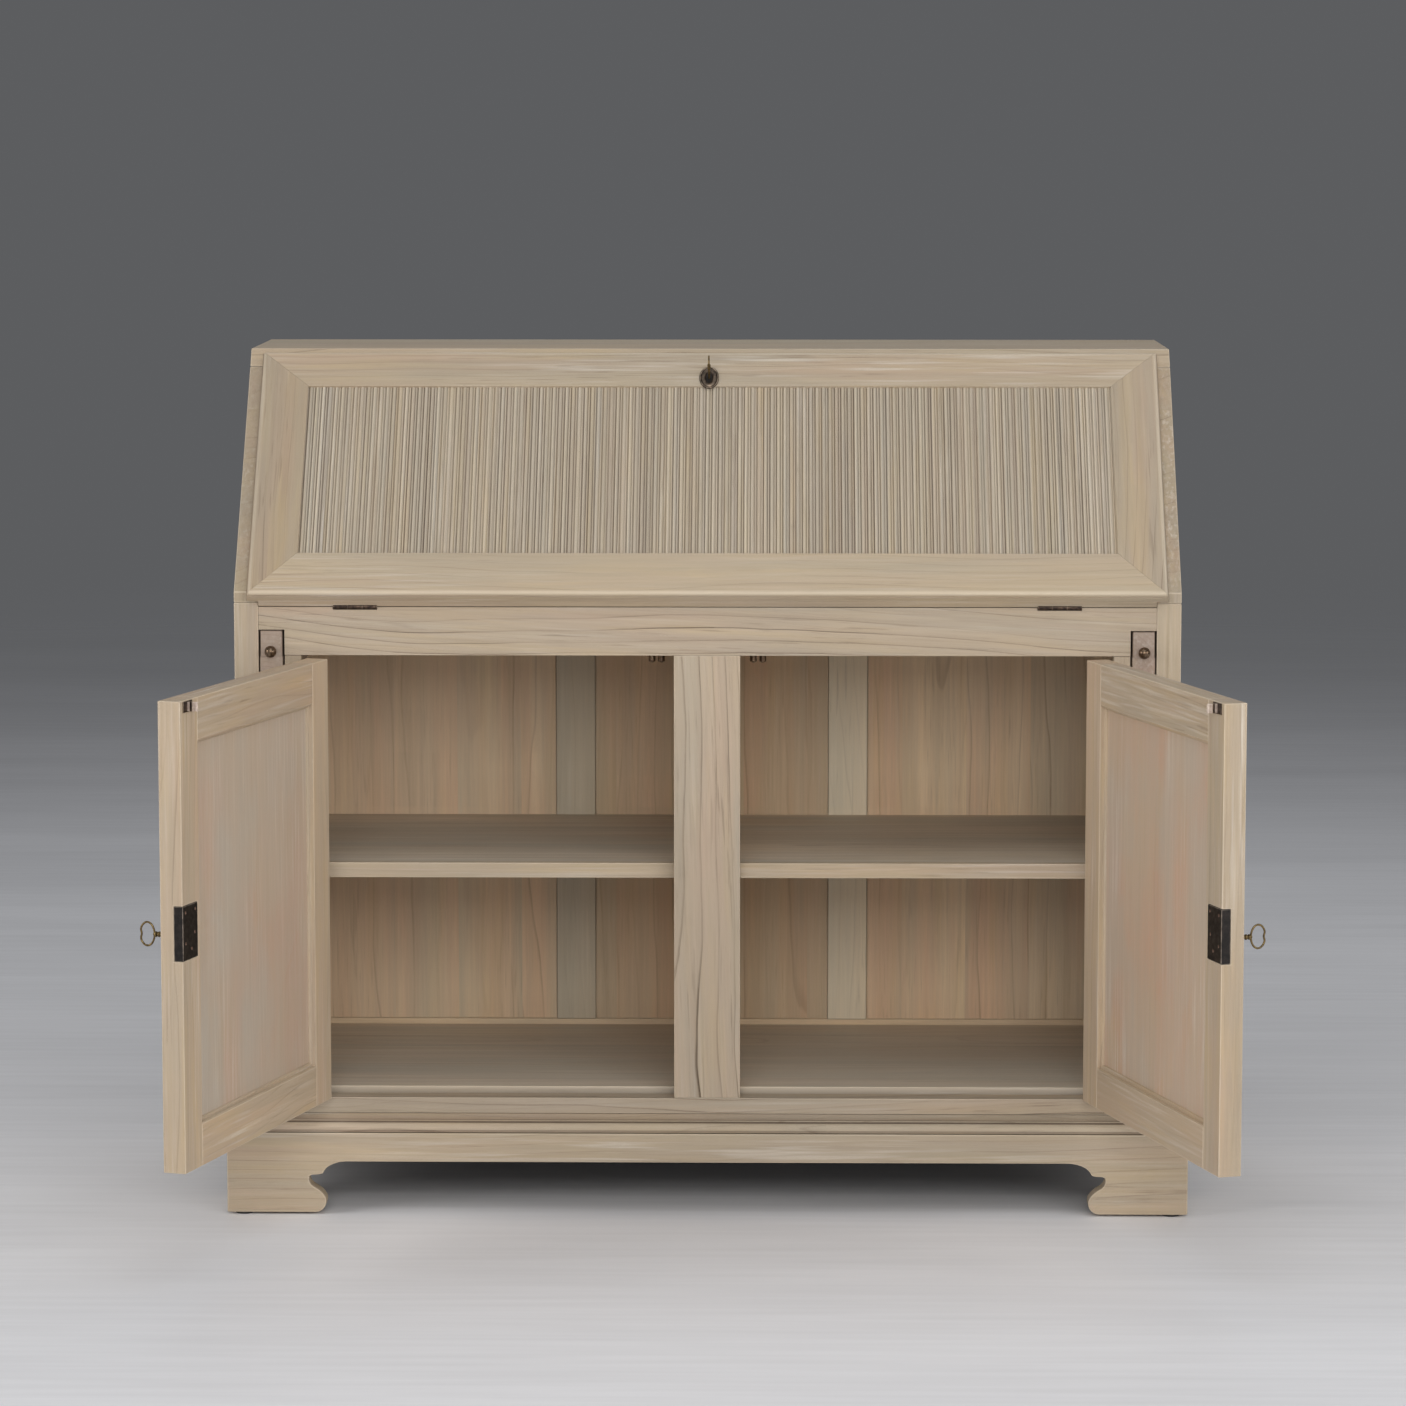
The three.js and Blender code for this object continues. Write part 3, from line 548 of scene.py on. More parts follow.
FACE_WOOD = wood(
    "limed_face_wood",
    [(196, 181, 159), (173, 156, 132), (191, 163, 142), (198, 175, 136), (165, 158, 144), (108, 88, 70)],
    tints=(0.75, 0.6, 0.6),
    patch=(1.8, 24.0),
    contrast=0.65,
    lime=0.5,
)
FIGURED_WOOD = wood(
    "limed_figured_wood",
    [(195, 180, 160), (176, 158, 136), (190, 162, 142), (198, 175, 136), (165, 157, 143), (84, 66, 48)],
    tints=(0.7, 0.5, 0.7),
    patch=(1.8, 22.0),
    ring_gap=13 * MM,
    ring_strength=1.0,
    ring_even=0.25,
    lime=0.2,
)
REED_WOOD = wood(
    "limed_reeded_wood",
    [(199, 190, 174), (166, 152, 135), (188, 166, 148), (205, 182, 141), (160, 158, 150), (112, 94, 78)],
    tints=(0.5, 0.5, 0.4),
    patch=(1.8, 26.0),
    contrast=0.7,
    ring_strength=0.3,
    glued=REED_PITCH,
    glued_tone=0.05,
    lime=0.3,
)
SHELF_WOOD = wood(
    "limed_shelf_wood",
    [(218, 204, 187), (189, 173, 154), (206, 185, 166), (208, 189, 156), (183, 179, 168), (132, 112, 94)],
    "interior_wood",
    tints=(0.5, 0.4, 0.85),
    patch=(1.2, 9.0),
    contrast=1.1,
    ring_strength=0.5,
    lime=0.4,
    fleck_strength=0.25,
)
# painted light: lighter than the face wood, so that the shaded inside of the cupboard and the desk looks
# brighter
LIGHTENED_INSIDE_WOOD = wood(
    "limed_inside_wood",
    [(243, 224, 193), (208, 184, 154), (229, 180, 148), (227, 195, 146), (194, 182, 160), (128, 92, 66)],
    "interior_wood",
    tints=(0.6, 0.4, 0.6),
    contrast=0.6,
    ring_gap=24 * MM,
    ring_strength=0.45,
    glued=0.085,
    glued_tone=0.12,
    lime=0.12,
    fleck_strength=0.2,
)
MUNTIN_WOOD = wood(
    "limed_muntin_wood",
    [(248, 233, 208), (223, 207, 181), (233, 208, 183), (231, 210, 170), (208, 204, 187), (140, 122, 102)],
    "interior_wood",
    tints=(0.2, 0.2, 0.7),
    contrast=0.35,
    ring_gap=16 * MM,
    ring_strength=0.25,
)
DOOR_WOOD = wood(
    "limed_door_panel_wood",
    [(201, 183, 162), (181, 162, 139), (201, 159, 134), (195, 172, 137), (185, 177, 164), (150, 122, 102)],
    tints=(0.95, 0.35, 0.85),
    patch=(4.5, 11.0),
    contrast=0.4,
    ring_gap=30 * MM,
    ring_strength=0.15,
    glued=0.5,
    lime=0.4,
    fleck_strength=0.15,
)
DOOR_FRAME_WOOD = wood(
    "limed_door_frame_wood",
    [(197, 180, 159), (174, 155, 130), (194, 160, 137), (201, 174, 132), (168, 160, 145), (116, 96, 78)],
    tints=(0.6, 0.65, 0.45),
    patch=(2.4, 20.0),
    contrast=0.6,
    ring_strength=0.45,
    lime=0.5,
)
LOPER_WOOD = wood(
    "limed_end_grain",
    [(182, 163, 148), (152, 134, 120), (172, 144, 130), (172, 151, 126), (148, 139, 130), (104, 86, 74)],
    ring_gap=6 * MM,
    ring_strength=0.55,
    ring_even=0.4,
)
BRONZE = metal(
    "dark_bronze_metal",
    [(50, 41, 37), (96, 79, 67), (30, 25, 23), (176, 158, 138)],
    "dark_bronze",
    roughness=0.34,
    metallic=0.85,
    patches=260.0,
)
KNOB_BRONZE = metal(
    "brown_bronze_metal",
    [(96, 78, 64), (136, 116, 94), (55, 44, 37), (190, 172, 150)],
    "dark_bronze",
    roughness=0.26,
    metallic=0.9,
    patches=260.0,
)
NICKEL = metal(
    "worn_nickel_metal",
    [(176, 156, 144), (204, 186, 172), (120, 104, 94), (224, 212, 200)],
    "dark_bronze",
    roughness=0.42,
    metallic=0.25,
    patches=220.0,
)
BRASS = metal(
    "old_brass_metal",
    [(98, 82, 54), (146, 124, 82), (64, 53, 38), (196, 172, 120)],
    "key_brass",
    roughness=0.36,
    metallic=0.85,
    patches=300.0,
)
RUST = metal(
    "rusty_screw_metal",
    [(102, 76, 64), (146, 122, 108), (60, 44, 36), (170, 146, 122)],
    "lock_iron",
    roughness=0.5,
    metallic=0.4,
    patches=500.0,
)
IRON = metal(
    "black_iron_metal",
    [(24, 21, 20), (46, 40, 37), (78, 66, 58), (150, 138, 126)],
    "lock_iron",
    roughness=0.44,
    metallic=0.5,
    patches=150.0,
)
GLIDE = glide_plastic()

# ---------------------------------------------------------------- camera, light and floor
CAMERA_AT = (0.08542, -6.02969, 1.38186)
CAMERA_DOWN = 6.989  # degrees below the horizon
CAMERA_TURN = 0.8604  # degrees to the left
CAMERA_LENS = 125.48
CAMERA_SENSOR = 36
CAMERA_REACH = 100  # metres
LIT = Vector((0, 0, 0.6))  # what the lights are turned to
WARM = (1.0, 0.985, 0.955)
COOL = (0.96, 0.985, 1.0)
LIGHTS = {  # place, size, power, colour
    "front_low": ((0.0, -4.3, 1.0), (2.6, 1.2), 12, WARM),
    "front_high": ((0.0, -4.3, 2.0), (2.6, 1.2), 54, WARM),
    "front_right": ((2.6, -3.8, 1.8), (2.0, 2.0), 43, WARM),
    "right": ((4.0, -1.6, 1.8), (2.0, 2.0), 35, WARM),
    "left": ((-4.0, -1.6, 1.8), (2.0, 2.0), 64, WARM),
    "above": ((0.0, -1.0, 3.6), (3.0, 2.0), 14, COOL),
    "overhead": ((0.0, -2.6, 3.6), (3.0, 2.0), 15, COOL),
    "behind": ((0.0, 2.6, 3.4), (3.0, 2.0), 22, COOL),
}
SKY = (0.86, 0.88, 0.92, 1)
SKY_STRENGTH = 0.125
FLOOR_COLOURS = srgb(232, 232, 236), srgb(245, 245, 249)
FLOOR_NEAR = 3.5  # metres from the desk's middle at which the floor starts to fade out
FLOOR_FAR = 9.0


def camera():
    data = bpy.data.cameras.new("camera")
    data.lens = CAMERA_LENS
    data.sensor_width = CAMERA_SENSOR
    data.clip_end = CAMERA_REACH
    made = add("camera", data)
    made.location = CAMERA_AT
    made.rotation_euler = (math.radians(90 - CAMERA_DOWN), 0, math.radians(CAMERA_TURN))
    bpy.context.scene.camera = made


def soft_light(name, at, size, power, colour):
    data = bpy.data.lights.new(name, "AREA")
    data.shape = "RECTANGLE"
    data.size, data.size_y = size
    data.energy = power
    data.color = colour
    made = add(name, data)
    made.location = at
    made.rotation_euler = (LIT - Vector(at)).to_track_quat("-Z", "Y").to_euler()


def studio():
    world = bpy.data.worlds.new("studio")
    world.use_nodes = True
    background = world.node_tree.nodes["Background"]
    background.inputs["Color"].default_value = SKY
    background.inputs["Strength"].default_value = SKY_STRENGTH
    bpy.context.scene.world = world
    bpy.context.scene.view_settings.view_transform = "Standard"
    for name, light in LIGHTS.items():
        soft_light(name, *light)


def floor():
    """A pale floor that fades out far from the desk."""
    s = Shader("pale_floor")
    where = s.node("TexCoord").outputs["Object"]
    cloud = s.noise(where, (0.5, 3.0, 1.0), 4.0)
    streak = s.noise(where, (3.0, 60.0, 1.0), 3.0)
    mixed = s.plus(s.times(cloud, 0.6), s.times(streak, 0.4))
    colour = s.mix(s.remap(mixed, 0.35, 0.65), *FLOOR_COLOURS)
    s.finish(None, Base_Color=colour, Roughness=s.remap(streak, 0.3, 0.7, 0.6, 0.75))
    distance = s.node("VectorMath", {0: where}, operation="LENGTH").outputs["Value"]
    far = s.remap(distance, FLOOR_NEAR, FLOOR_FAR, smooth=True)
    clear = s.node("BsdfTransparent").outputs[0]
    faded = s.node("MixShader", {0: far, 1: s.surface.outputs[0], 2: clear})
    s.tree.links.new(faded.outputs[0], s.tree.nodes["Material Output"].inputs["Surface"])

    bm = bmesh.new()
    bmesh.ops.create_circle(bm, cap_ends=True, radius=FLOOR_FAR + 1, segments=64)
    mesh = as_mesh(bm, "floor")
    mesh.materials.append(s.material)
    add("floor", mesh)


# ---------------------------------------------------------------- base
PLINTH_EASE = 1.2 * MM
MOULDING_INSIDE = -20  # mm, how deep the moulding's section reaches into the carcass
GLIDE_SECTION = [(0, 0), (0.9, 0), (0.97, 0.15), (1, 0.45), (0.98, 0.8), (0.93, 1), (0, 1)]


def arc(centre, radius, start, end, steps):
    """Points on an arc; angles in degrees."""
    points = []
    for i in range(steps + 1):
        angle = math.radians(start + (end - start) * i / steps)
        points.append((centre[0] + radius * math.cos(angle), centre[1] + radius * math.sin(angle)))
    return points


def curve(a, b, c, steps=10):
    """Points on a quadratic curve from a to c that leans towards b, without its first one."""
    points = []
    for i in range(1, steps + 1):
        t = i / steps
        points.append(tuple((1 - t) ** 2 * a[k] + 2 * t * (1 - t) * b[k] + t * t * c[k] for k in range(2)))
    return points


def foot_outline(apron):
    """A bracket foot, in mm from the outer corner inwards and up: round toe, hollow, step and sweep."""
    points = [(0, 0), *arc((110, 14), 14, -90, 18, 14)]
    points += curve(points[-1], (119, 27), (109, 32))
    points += curve((109, 32), (101, 37), (103, 46))
    points += [(106, 47.4), (115, 48), (120, 49.3)]
    return points + curve((120, 49.3), (124.5, 62), (147, apron), 12)


def plinth():
    front_low, front_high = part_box("plinth_front")
    apron = (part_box("plinth_back")[0].z - front_low.z) / MM
    half = front_high.x
    tall = front_high.z - front_low.z
    foot = in_mm(foot_outline(apron))
    outline = [(u - half, z) for u, z in foot]
    outline += [(half - u, z) for u, z in reversed(foot)]
    outline += [(half, tall), (-half, tall)]
    rings = [[(x, y, front_low.z + z) for x, z in outline] for y in (front_low.y, front_high.y)]
    bm = cut_from_log(ease(loft(rings), PLINTH_EASE), "plinth_front", "xzy")
    put(bm, "plinth_front_wood", FACE_WOOD, nodes=("plinth_front",))

    for label in SIDES:
        node = f"plinth_side_{label}"
        low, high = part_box(node)
        length, tall = high.y - low.y, high.z - low.z
        proud = low.y - front_low.y
        outline = [(0, 0), *((u - proud, z) for u, z in foot if u > proud)]
        outline += [(length - u, z) for u, z in reversed(foot)]
        outline += [(length, tall), (0, tall)]
        rings = [[(x, low.y + y, low.z + z) for y, z in outline] for x in (low.x, high.x)]
        bm = cut_from_log(ease(loft(rings), PLINTH_EASE), node, "yzx")
        put(bm, f"{node}_wood", FACE_WOOD, nodes=(node,))
    cad_board("plinth_back", "xzy", LIGHTENED_INSIDE_WOOD)


def moulding_section(tall, proud):
    """(distance outside the carcass, height, rub of the strip that follows), in mm and low end first: a bead,
    a quirk, a fillet with another quirk over it, and a hollow. The rub paints highlights on the bead and the
    fillet and shade in the quirks and the hollow."""
    section = [(MOULDING_INSIDE, 0, 0.0), (proud - 1.2, 0, -1.0), (proud - 0.2, 0.8, -0.6)]
    section += [(*point, 0.9) for point in arc((proud - 6.2, 6.2), 6.0, -25, 78, 12)]
    section[-1] = (*section[-1][:2], -1.0)
    section += [(6.6, 12.2, -1.0), (6.2, 13.4, 0.6), (6.9, 13.9, 0.0), (6.9, 15.2, -1.0)]
    section += [(*point, -0.4) for point in curve(section[-1][:2], (1.2, 16.2), (0.4, tall), 8)]
    return [*section, (MOULDING_INSIDE, tall, 0.0)]


def base_moulding():
    low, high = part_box("base_moulding_front")
    panel_low, panel_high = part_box("side_panel_right")
    face_y, half = panel_low.y, panel_high.x
    section = moulding_section((high.z - low.z) / MM, (face_y - low.y) / MM)
    outline = [(out * MM, low.z + height * MM) for out, height, _ in section]
    rubs_and_painted_light = [rub_and_painted_light for _, _, rub_and_painted_light in section]
    ends = []
    for side in SIDES.values():
        ends.append([(side * (half + out - JOINT_GAP), face_y - out, z) for out, z in outline])
    bm = cut_from_log(loft(ends, rubs_and_painted_light), "base_moulding_front", "xzy")
    put(bm, "base_moulding_front_wood", FACE_WOOD, nodes=("base_moulding_front",))
    for label, side in SIDES.items():
        node = f"base_moulding_{label}"
        end_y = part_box(node)[1].y
        near = [(side * (half + out), face_y - out + JOINT_GAP, z) for out, z in outline]
        far = [(side * (half + out), end_y, z) for out, z in outline]
        bm = cut_from_log(loft([near, far], rubs_and_painted_light), node, "yzx")
        put(bm, f"{node}_wood", FACE_WOOD, nodes=(node,))


def glides():
    """Moulded glides: a flat foot with a rounded rim."""
    for end in ("front", "rear"):
        for label in SIDES:
            node = f"glide_{end}_{label}"
            low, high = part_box(node)
            radius = (high.x - low.x) / 2
            profile = [(share * radius, up * (high.z - low.z)) for share, up in GLIDE_SECTION]
            middle = (low + high) / 2
            place = Matrix.Translation((middle.x, middle.y, low.z)) @ UPRIGHT
            put(lathe_mesh(profile), f"{node}_pad", GLIDE, nodes=(node,), place=place)


# ---------------------------------------------------------------- carcass
LIPPING = 14 * MM
CLOSE = 0.5 * MM  # easing of arrises that lie against a neighbour
SOFT = 0.8 * MM
MUNTIN_X = (155 * MM, 207 * MM)  # from the middle
SHEET_IN = 3 * MM  # how far the back's sheet lies behind its rail and muntins
BACK_RAIL_Z = 7 * MM
PANEL_IN = 0.9 * MM  # how far the back's panels lie behind its muntins, and away from them


def lipped_shelf(node):
    """A shelf with a lipping glued to its front edge."""
    low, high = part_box(node)
    seam = low.y + LIPPING
    board(f"{node}_lipping", low, (high.x, seam, high.z), "xzy", FACE_WOOD, nodes=(node,), width=1.2 * MM)
    board(f"{node}_wood", (low.x, seam, low.z), high, "xyz", SHELF_WOOD, nodes=(node,), width=0.1 * MM)


def carcass():
    for label in SIDES:
        cad_board(f"side_panel_{label}", "zyx", FACE_WOOD)
        # the front stiles' eased arrises take painted shade, for the dark outline of the loper slots in them
        cad_board(f"front_stile_{label}", "zxy", FACE_WOOD, CLOSE, rub_and_painted_light=-0.9)
        lipped_shelf(f"shelf_{label}")
        cad_board(f"cheek_{label}", "zyx", FACE_WOOD)
    cad_board("centre_stile", "zxy", FIGURED_WOOD, SOFT)
    cad_board("bottom_rail", "xzy", FIGURED_WOOD, SOFT)
    cad_board("top_rail", "xzy", FIGURED_WOOD, CLOSE)
    cad_board("bottom_board", "xyz", SHELF_WOOD)
    cad_board("centre_partition", "zyx", LIGHTENED_INSIDE_WOOD)
    cad_board("writing_board", "xyz", SHELF_WOOD)
    cad_board("top_board", "xyz", FACE_WOOD)
    cad_board("upper_back", "xzy", LIGHTENED_INSIDE_WOOD)


def cupboard_back():
    """Two muntins and three panels on one sheet."""
    low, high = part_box("lower_back")
    sheet_y = low.y + SHEET_IN
    board("lower_back_sheet", (low.x, sheet_y, low.z), high, "zxy", LIGHTENED_INSIDE_WOOD, nodes=("lower_back",))
    rail_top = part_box("bottom_board")[1].z + BACK_RAIL_Z
    top_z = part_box("writing_board")[0].z - CLOSE
    board("lower_back_rail", low, (high.x, sheet_y, rail_top), "xzy", LIGHTENED_INSIDE_WOOD, width=0.6 * MM)
    inner, outer = MUNTIN_X
    for label, side in SIDES.items():
        x0, x1 = sorted((side * inner, side * outer))
        muntin_low = (x0, low.y, rail_top + JOINT_GAP)
        # the muntins' eased edges take painted shade, for the dark lines of shadow beside them
        board(f"lower_back_muntin_{label}", muntin_low, (x1, sheet_y, top_z), "zxy", MUNTIN_WOOD,
              width=0.7 * MM, rub_and_painted_light=-1.0)
    spans = {
        "left": (low.x, -outer - PANEL_IN),
        "middle": (-inner + PANEL_IN, inner - PANEL_IN),
        "right": (outer + PANEL_IN, high.x),
    }
    for label, (x0, x1) in spans.items():
        panel_low = (x0, low.y + PANEL_IN, rail_top + PANEL_IN)
        board(f"lower_back_panel_{label}", panel_low, (x1, sheet_y, top_z), "zxy", LIGHTENED_INSIDE_WOOD, width=SOFT)


# ---------------------------------------------------------------- behind the flap
GALLERY_WALL = 8 * MM
DRAWER_PLAY = 1.5 * MM
DRAWER_WALL = 7 * MM
DRAWER_FRONT = 14 * MM
DRAWER_KNOB = 0.8  # of the size of a loper's knob
KNOB = in_mm([  # (radius, along), from the tip to the face it stands on
    (0, -18.5), (1.6, -18.42), (3.2, -18.0), (4.8, -17.0), (6.2, -15.4), (7.1, -13.6), (7.5, -11.6),
    (7.3, -9.8), (6.5, -8.0), (5.2, -6.5), (3.9, -5.5), (3.0, -4.4), (2.8, -3.2), (3.3, -2.3),
    (4.5, -1.7), (4.9, -1.1), (4.8, -0.3), (0, -0.2),
])
LOPER_SLACK = 0.8 * MM  # at either side of a loper and over it


def gallery():
    """Pigeonholes: thin boards with rounded fronts."""
    low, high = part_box("gallery")
    drawer_low, drawer_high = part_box("drawer_right")
    mid_z = drawer_high.z + DRAWER_PLAY
    half = GALLERY_WALL / 2
    post_x = drawer_low.x - DRAWER_PLAY - half
    end_x = high.x - half

    def thin(name, a, b, along):
        board(f"gallery_{name}", a, b, along, SHELF_WOOD, nodes=("gallery",), width=1.5 * MM)

    def upright(name, x, low_z, high_z):
        thin(name, (x - half, low.y, low_z), (x + half, high.y, high_z), "zyx")

    def shelf(name, z):
        thin(name, (low.x + GALLERY_WALL, low.y, z), (high.x - GALLERY_WALL, high.y, z + GALLERY_WALL), "xyz")

    for label, side in SIDES.items():
        upright(f"end_{label}", side * end_x, low.z, high.z)
        upright(f"post_{label}", side * post_x, low.z, mid_z)
    shelf("mid_shelf", mid_z)
    shelf("top_shelf", high.z - GALLERY_WALL)
    for i, x in enumerate((-end_x / 2, 0, end_x / 2)):
        upright(f"divider_{i}", x, mid_z + GALLERY_WALL, high.z - GALLERY_WALL)


def knob(name, at, body, nodes=(), scale=1.0):
    profile = [(radius * scale, along * scale) for radius, along in KNOB]
    put(lathe_mesh(profile), name, KNOB_BRONZE, body, nodes, Matrix.Translation(at))


def drawer(node):
    low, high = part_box(node)
    wall = DRAWER_WALL
    front_y, back_y = low.y + DRAWER_FRONT, high.y - wall
    y0, y1 = front_y + JOINT_GAP, back_y - JOINT_GAP

    def part(name, a, b, along, material=SHELF_WOOD):
        board(f"{node}_{name}", a, b, along, material, node, (node,))

    part("front", low, (high.x, front_y, high.z), "xzy", FACE_WOOD)
    part("back", (low.x, back_y, low.z), high, "xzy")
    part("side_low_x", (low.x, y0, low.z), (low.x + wall, y1, high.z), "yzx")
    part("side_high_x", (high.x - wall, y0, low.z), (high.x, y1, high.z), "yzx")
    part("floor", (low.x + wall, y0, low.z), (high.x - wall, y1, low.z + wall), "yxz")
    middle = (low + high) / 2
    knob(f"{node}_knob", (middle.x, low.y, middle.z), node, scale=DRAWER_KNOB)


def loper(label):
    """A loper and the bearer that it slides on, sawn from one piece, so that their ends look like one."""
    node, bearer, knob_node = (f"loper{kind}_{label}" for kind in ("", "_bearer", "_knob"))
    low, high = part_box(node)
    under_low, under_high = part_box(bearer)
    under_high.z = low.z - JOINT_GAP
    middle = (low + under_high) / 2
    high.z -= LOPER_SLACK
    slack = Vector((LOPER_SLACK, 0, 0))
    for piece, a, b, body in ((node, low, high, node), (bearer, under_low, under_high, "carcass")):
        bm = box_mesh(a + slack, b - slack)
        # the eased edges of the loper and its bearer take painted shade, for the dark outline of the slot
        bm = ease(bm, 0.9 * MM, rub_and_painted_light=-1.0, wanted=lambda point: abs(point.z - low.z) > MM)
        put(cut_from_log(bm, node, "yxz", middle), f"{piece}_wood", LOPER_WOOD, body, (piece,))
    knob_low, knob_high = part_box(knob_node)
    middle = (knob_low + knob_high) / 2
    knob(f"{knob_node}_turned", (middle.x, low.y, middle.z), node, (knob_node,))


# ---------------------------------------------------------------- flap
FLAP_REBATE = 12 * MM  # how deep the flap's inner part goes between the cheeks
REBATE_TOP = 14 * MM  # from the flap's upper end to its inner part's
ROUND_OVER = 5.5 * MM  # of the flap's outer edge
LIP_PAINTED_HIGHLIGHT = (0.0, 0.2, 0.7, 1.2, 1.4, 1.2, 0.8, 0.4, 0.0)  # painted highlight round the rounded edge, from the side to the face
REED = [  # (share of the pitch, mm deep, rub of the strip that follows): the rub paints highlights on the crests and shade in the grooves
    (0.0, 2.4, -1.1), (0.08, 2.4, -0.4), (0.12, 1.3, 0.0), (0.2, 0.55, 1.1), (0.31, 0.2, 0.5),
    (0.38, 0.25, 0.0), (0.55, 0.7, -0.4), (0.63, 1.4, -1.0), (0.71, 1.6, -0.2), (0.76, 0.95, 1.0),
    (0.85, 1.1, 0.0), (0.95, 2.0, -0.8),
]
REED_MARGIN = 0.9 * MM  # left flat at either edge of a reeded panel
MARGIN_DEPTH = 0.4 * MM
MARGIN_SLOPE = 0.25 * MM  # from the margin down into the first groove
ROSETTE = [  # (mm in from the rim, height, rub of the strip that follows)
    (0.0, 0.0, 0.0), (0.0, 0.8, 0.0), (0.4, 1.2, 0.8), (1.1, 1.35, 1.0), (1.8, 1.2, 0.0), (2.2, 0.7, 0.0),
    (2.6, 0.7, 0.0), (3.0, 1.1, 0.6), (4.4, 1.8, 0.3), (6.0, 2.0, 0.2), (7.4, 1.7, 0.0), (8.3, 1.1, 0.0),
    (8.5, 0.4, 0.0), (8.5, 0.0, 0.0),
]
# a thin black disc in the keyhole: painted shade for the hole
KEYHOLE_SHADE = in_mm([(0, 0), (4.4, 0), (4.4, 0.3), (0, 0.3)])
KEYHOLE_SHADE_LONG = 1.8  # times its width


def flap_frame():
    """Two rails and two stiles, mitred, with a rounded lip that lies on the cheeks."""
    low, high = local_box("flap_frame", FLAP_PLACE)
    panel_low, panel_high = local_box("flap_panel", FLAP_PLACE)
    rebate_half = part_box("upper_back")[1].x - 0.3 * MM
    face = high.z
    snug = 0.05 * MM
    opening = (panel_high.x + snug, panel_low.y - snug, panel_high.y + snug)
    lip = (high.x, low.y, high.y)
    inside = (rebate_half, low.y, high.y - REBATE_TOP)

    # (rectangle, distance in from its edge, height, rub of the strip that follows), round the section; the
    # rub paints a highlight along the lip's rounded edge and shade on the small step just under it
    section = [
        (inside, 0.0, 0.6 * MM, 0.0),
        (inside, 0.0, FLAP_REBATE - JOINT_GAP, 0.0),
        (lip, 0.6 * MM, FLAP_REBATE, 0.0),
        (lip, 0.0, FLAP_REBATE + 0.6 * MM, 0.0),
        (lip, 0.0, face - ROUND_OVER - 1.2 * MM, -0.5),
        (lip, 0.9 * MM, face - ROUND_OVER - 0.9 * MM, -0.3),
    ]
    for i, rub_and_painted_light in enumerate(LIP_PAINTED_HIGHLIGHT):
        angle = math.radians(90 * i / (len(LIP_PAINTED_HIGHLIGHT) - 1))
        inwards = 0.9 * MM + ROUND_OVER * (1 - math.cos(angle))
        section.append((lip, inwards, face - ROUND_OVER * (1 - math.sin(angle)), rub_and_painted_light))
    section += [
        (opening, -1.0 * MM, face, 0.3),
        (opening, -0.3 * MM, face - 0.3 * MM, 0.0),
        (opening, 0.0, face - 1.0 * MM, 0.0),
        (opening, 0.0, 0.8 * MM, 0.0),
        (opening, -0.8 * MM, 0.0, 0.0),
        (inside, 0.6 * MM, 0.0, 0.0),
    ]
    rubs_and_painted_light = [rub_and_painted_light for _, _, _, rub_and_painted_light in section]
    boards = {  # the two corners that each goes between: side, and whether it is an upper one
        "rail_bottom": [(-1, False), (1, False)],
        "rail_top": [(-1, True), (1, True)],
        "stile_left": [(-1, False), (-1, True)],
        "stile_right": [(1, False), (1, True)],
    }
    for name, ends in boards.items():
        is_rail = "rail" in name
        rings = []
        for side, upper in ends:
            ring = []
            for (half, bottom, top), inwards, height, _ in section:
                x, y = side * (half - inwards), (top - inwards if upper else bottom + inwards)
                if is_rail:
                    x -= side * JOINT_GAP
                else:
                    y += -JOINT_GAP if upper else JOINT_GAP
                ring.append((x, y, height))
            rings.append(ring)
        bm = cut_from_log(loft(rings, rubs_and_painted_light), f"flap_{name}", "xyz" if is_rail else "yxz")
        put(bm, f"flap_{name}", FACE_WOOD, "flap", ("flap_frame",), FLAP_PLACE)


def reeded_edge(low_x, high_x, luck):
    """(x, depth, rub of the strip that follows) across a row of reeds. The rub paints a highlight on each
    crest and shade in each groove, by an amount of its own for each reed.
    """
    start, end = low_x + REED_MARGIN, high_x - REED_MARGIN
    count = round((end - start) / REED_PITCH / 2) * 2 + 1
    pitch = (end - start) / count
    points = [(low_x, MARGIN_DEPTH, 0.0), (start - MARGIN_SLOPE, MARGIN_DEPTH, 0.0)]
    for i in range(count):
        crest, groove = luck.uniform(0.1, 1.4), luck.uniform(0.3, 1.0)
        for share, depth, rub_and_painted_light in REED:
            points.append((start + (i + share) * pitch, depth * MM, rub_and_painted_light * (crest if rub_and_painted_light > 0 else groove)))
    points += [(end, REED[0][1] * MM, 0.0), (end + MARGIN_SLOPE, MARGIN_DEPTH, 0.0)]
    return [*points, (high_x, MARGIN_DEPTH, 0.0)]


def flap_panel():
    """A board whose outer face is cut into upright reeds, each with a fine groove beside it."""
    low, high = local_box("flap_panel", FLAP_PLACE)
    edge = reeded_edge(low.x, high.x, random.Random(5))
    outline = [(low.x, low.z), *((x, high.z - depth) for x, depth, _ in edge), (high.x, low.z)]
    rubs_and_painted_light = [0.0, *(rub_and_painted_light for _, _, rub_and_painted_light in edge), 0.0]
    rings = [[(x, y, z) for x, z in outline] for y in (low.y, high.y)]
    bm = cut_from_log(loft(rings, rubs_and_painted_light), "flap_panel", "yxz")
    put(bm, "flap_panel_reeded", REED_WOOD, "flap", ("flap_panel",), FLAP_PLACE)


def ellipse_rings(half_x, half_y, section, steps=48):
    """Rings of a section of (distance in from the outer rim, height) swept round an ellipse."""
    rings = []
    for i in range(steps):
        angle = 2 * math.pi * i / steps
        c, s = math.cos(angle), math.sin(angle)
        rings.append([((half_x - d) * c, (half_y - d) * s, h) for d, h in section])
    return rings


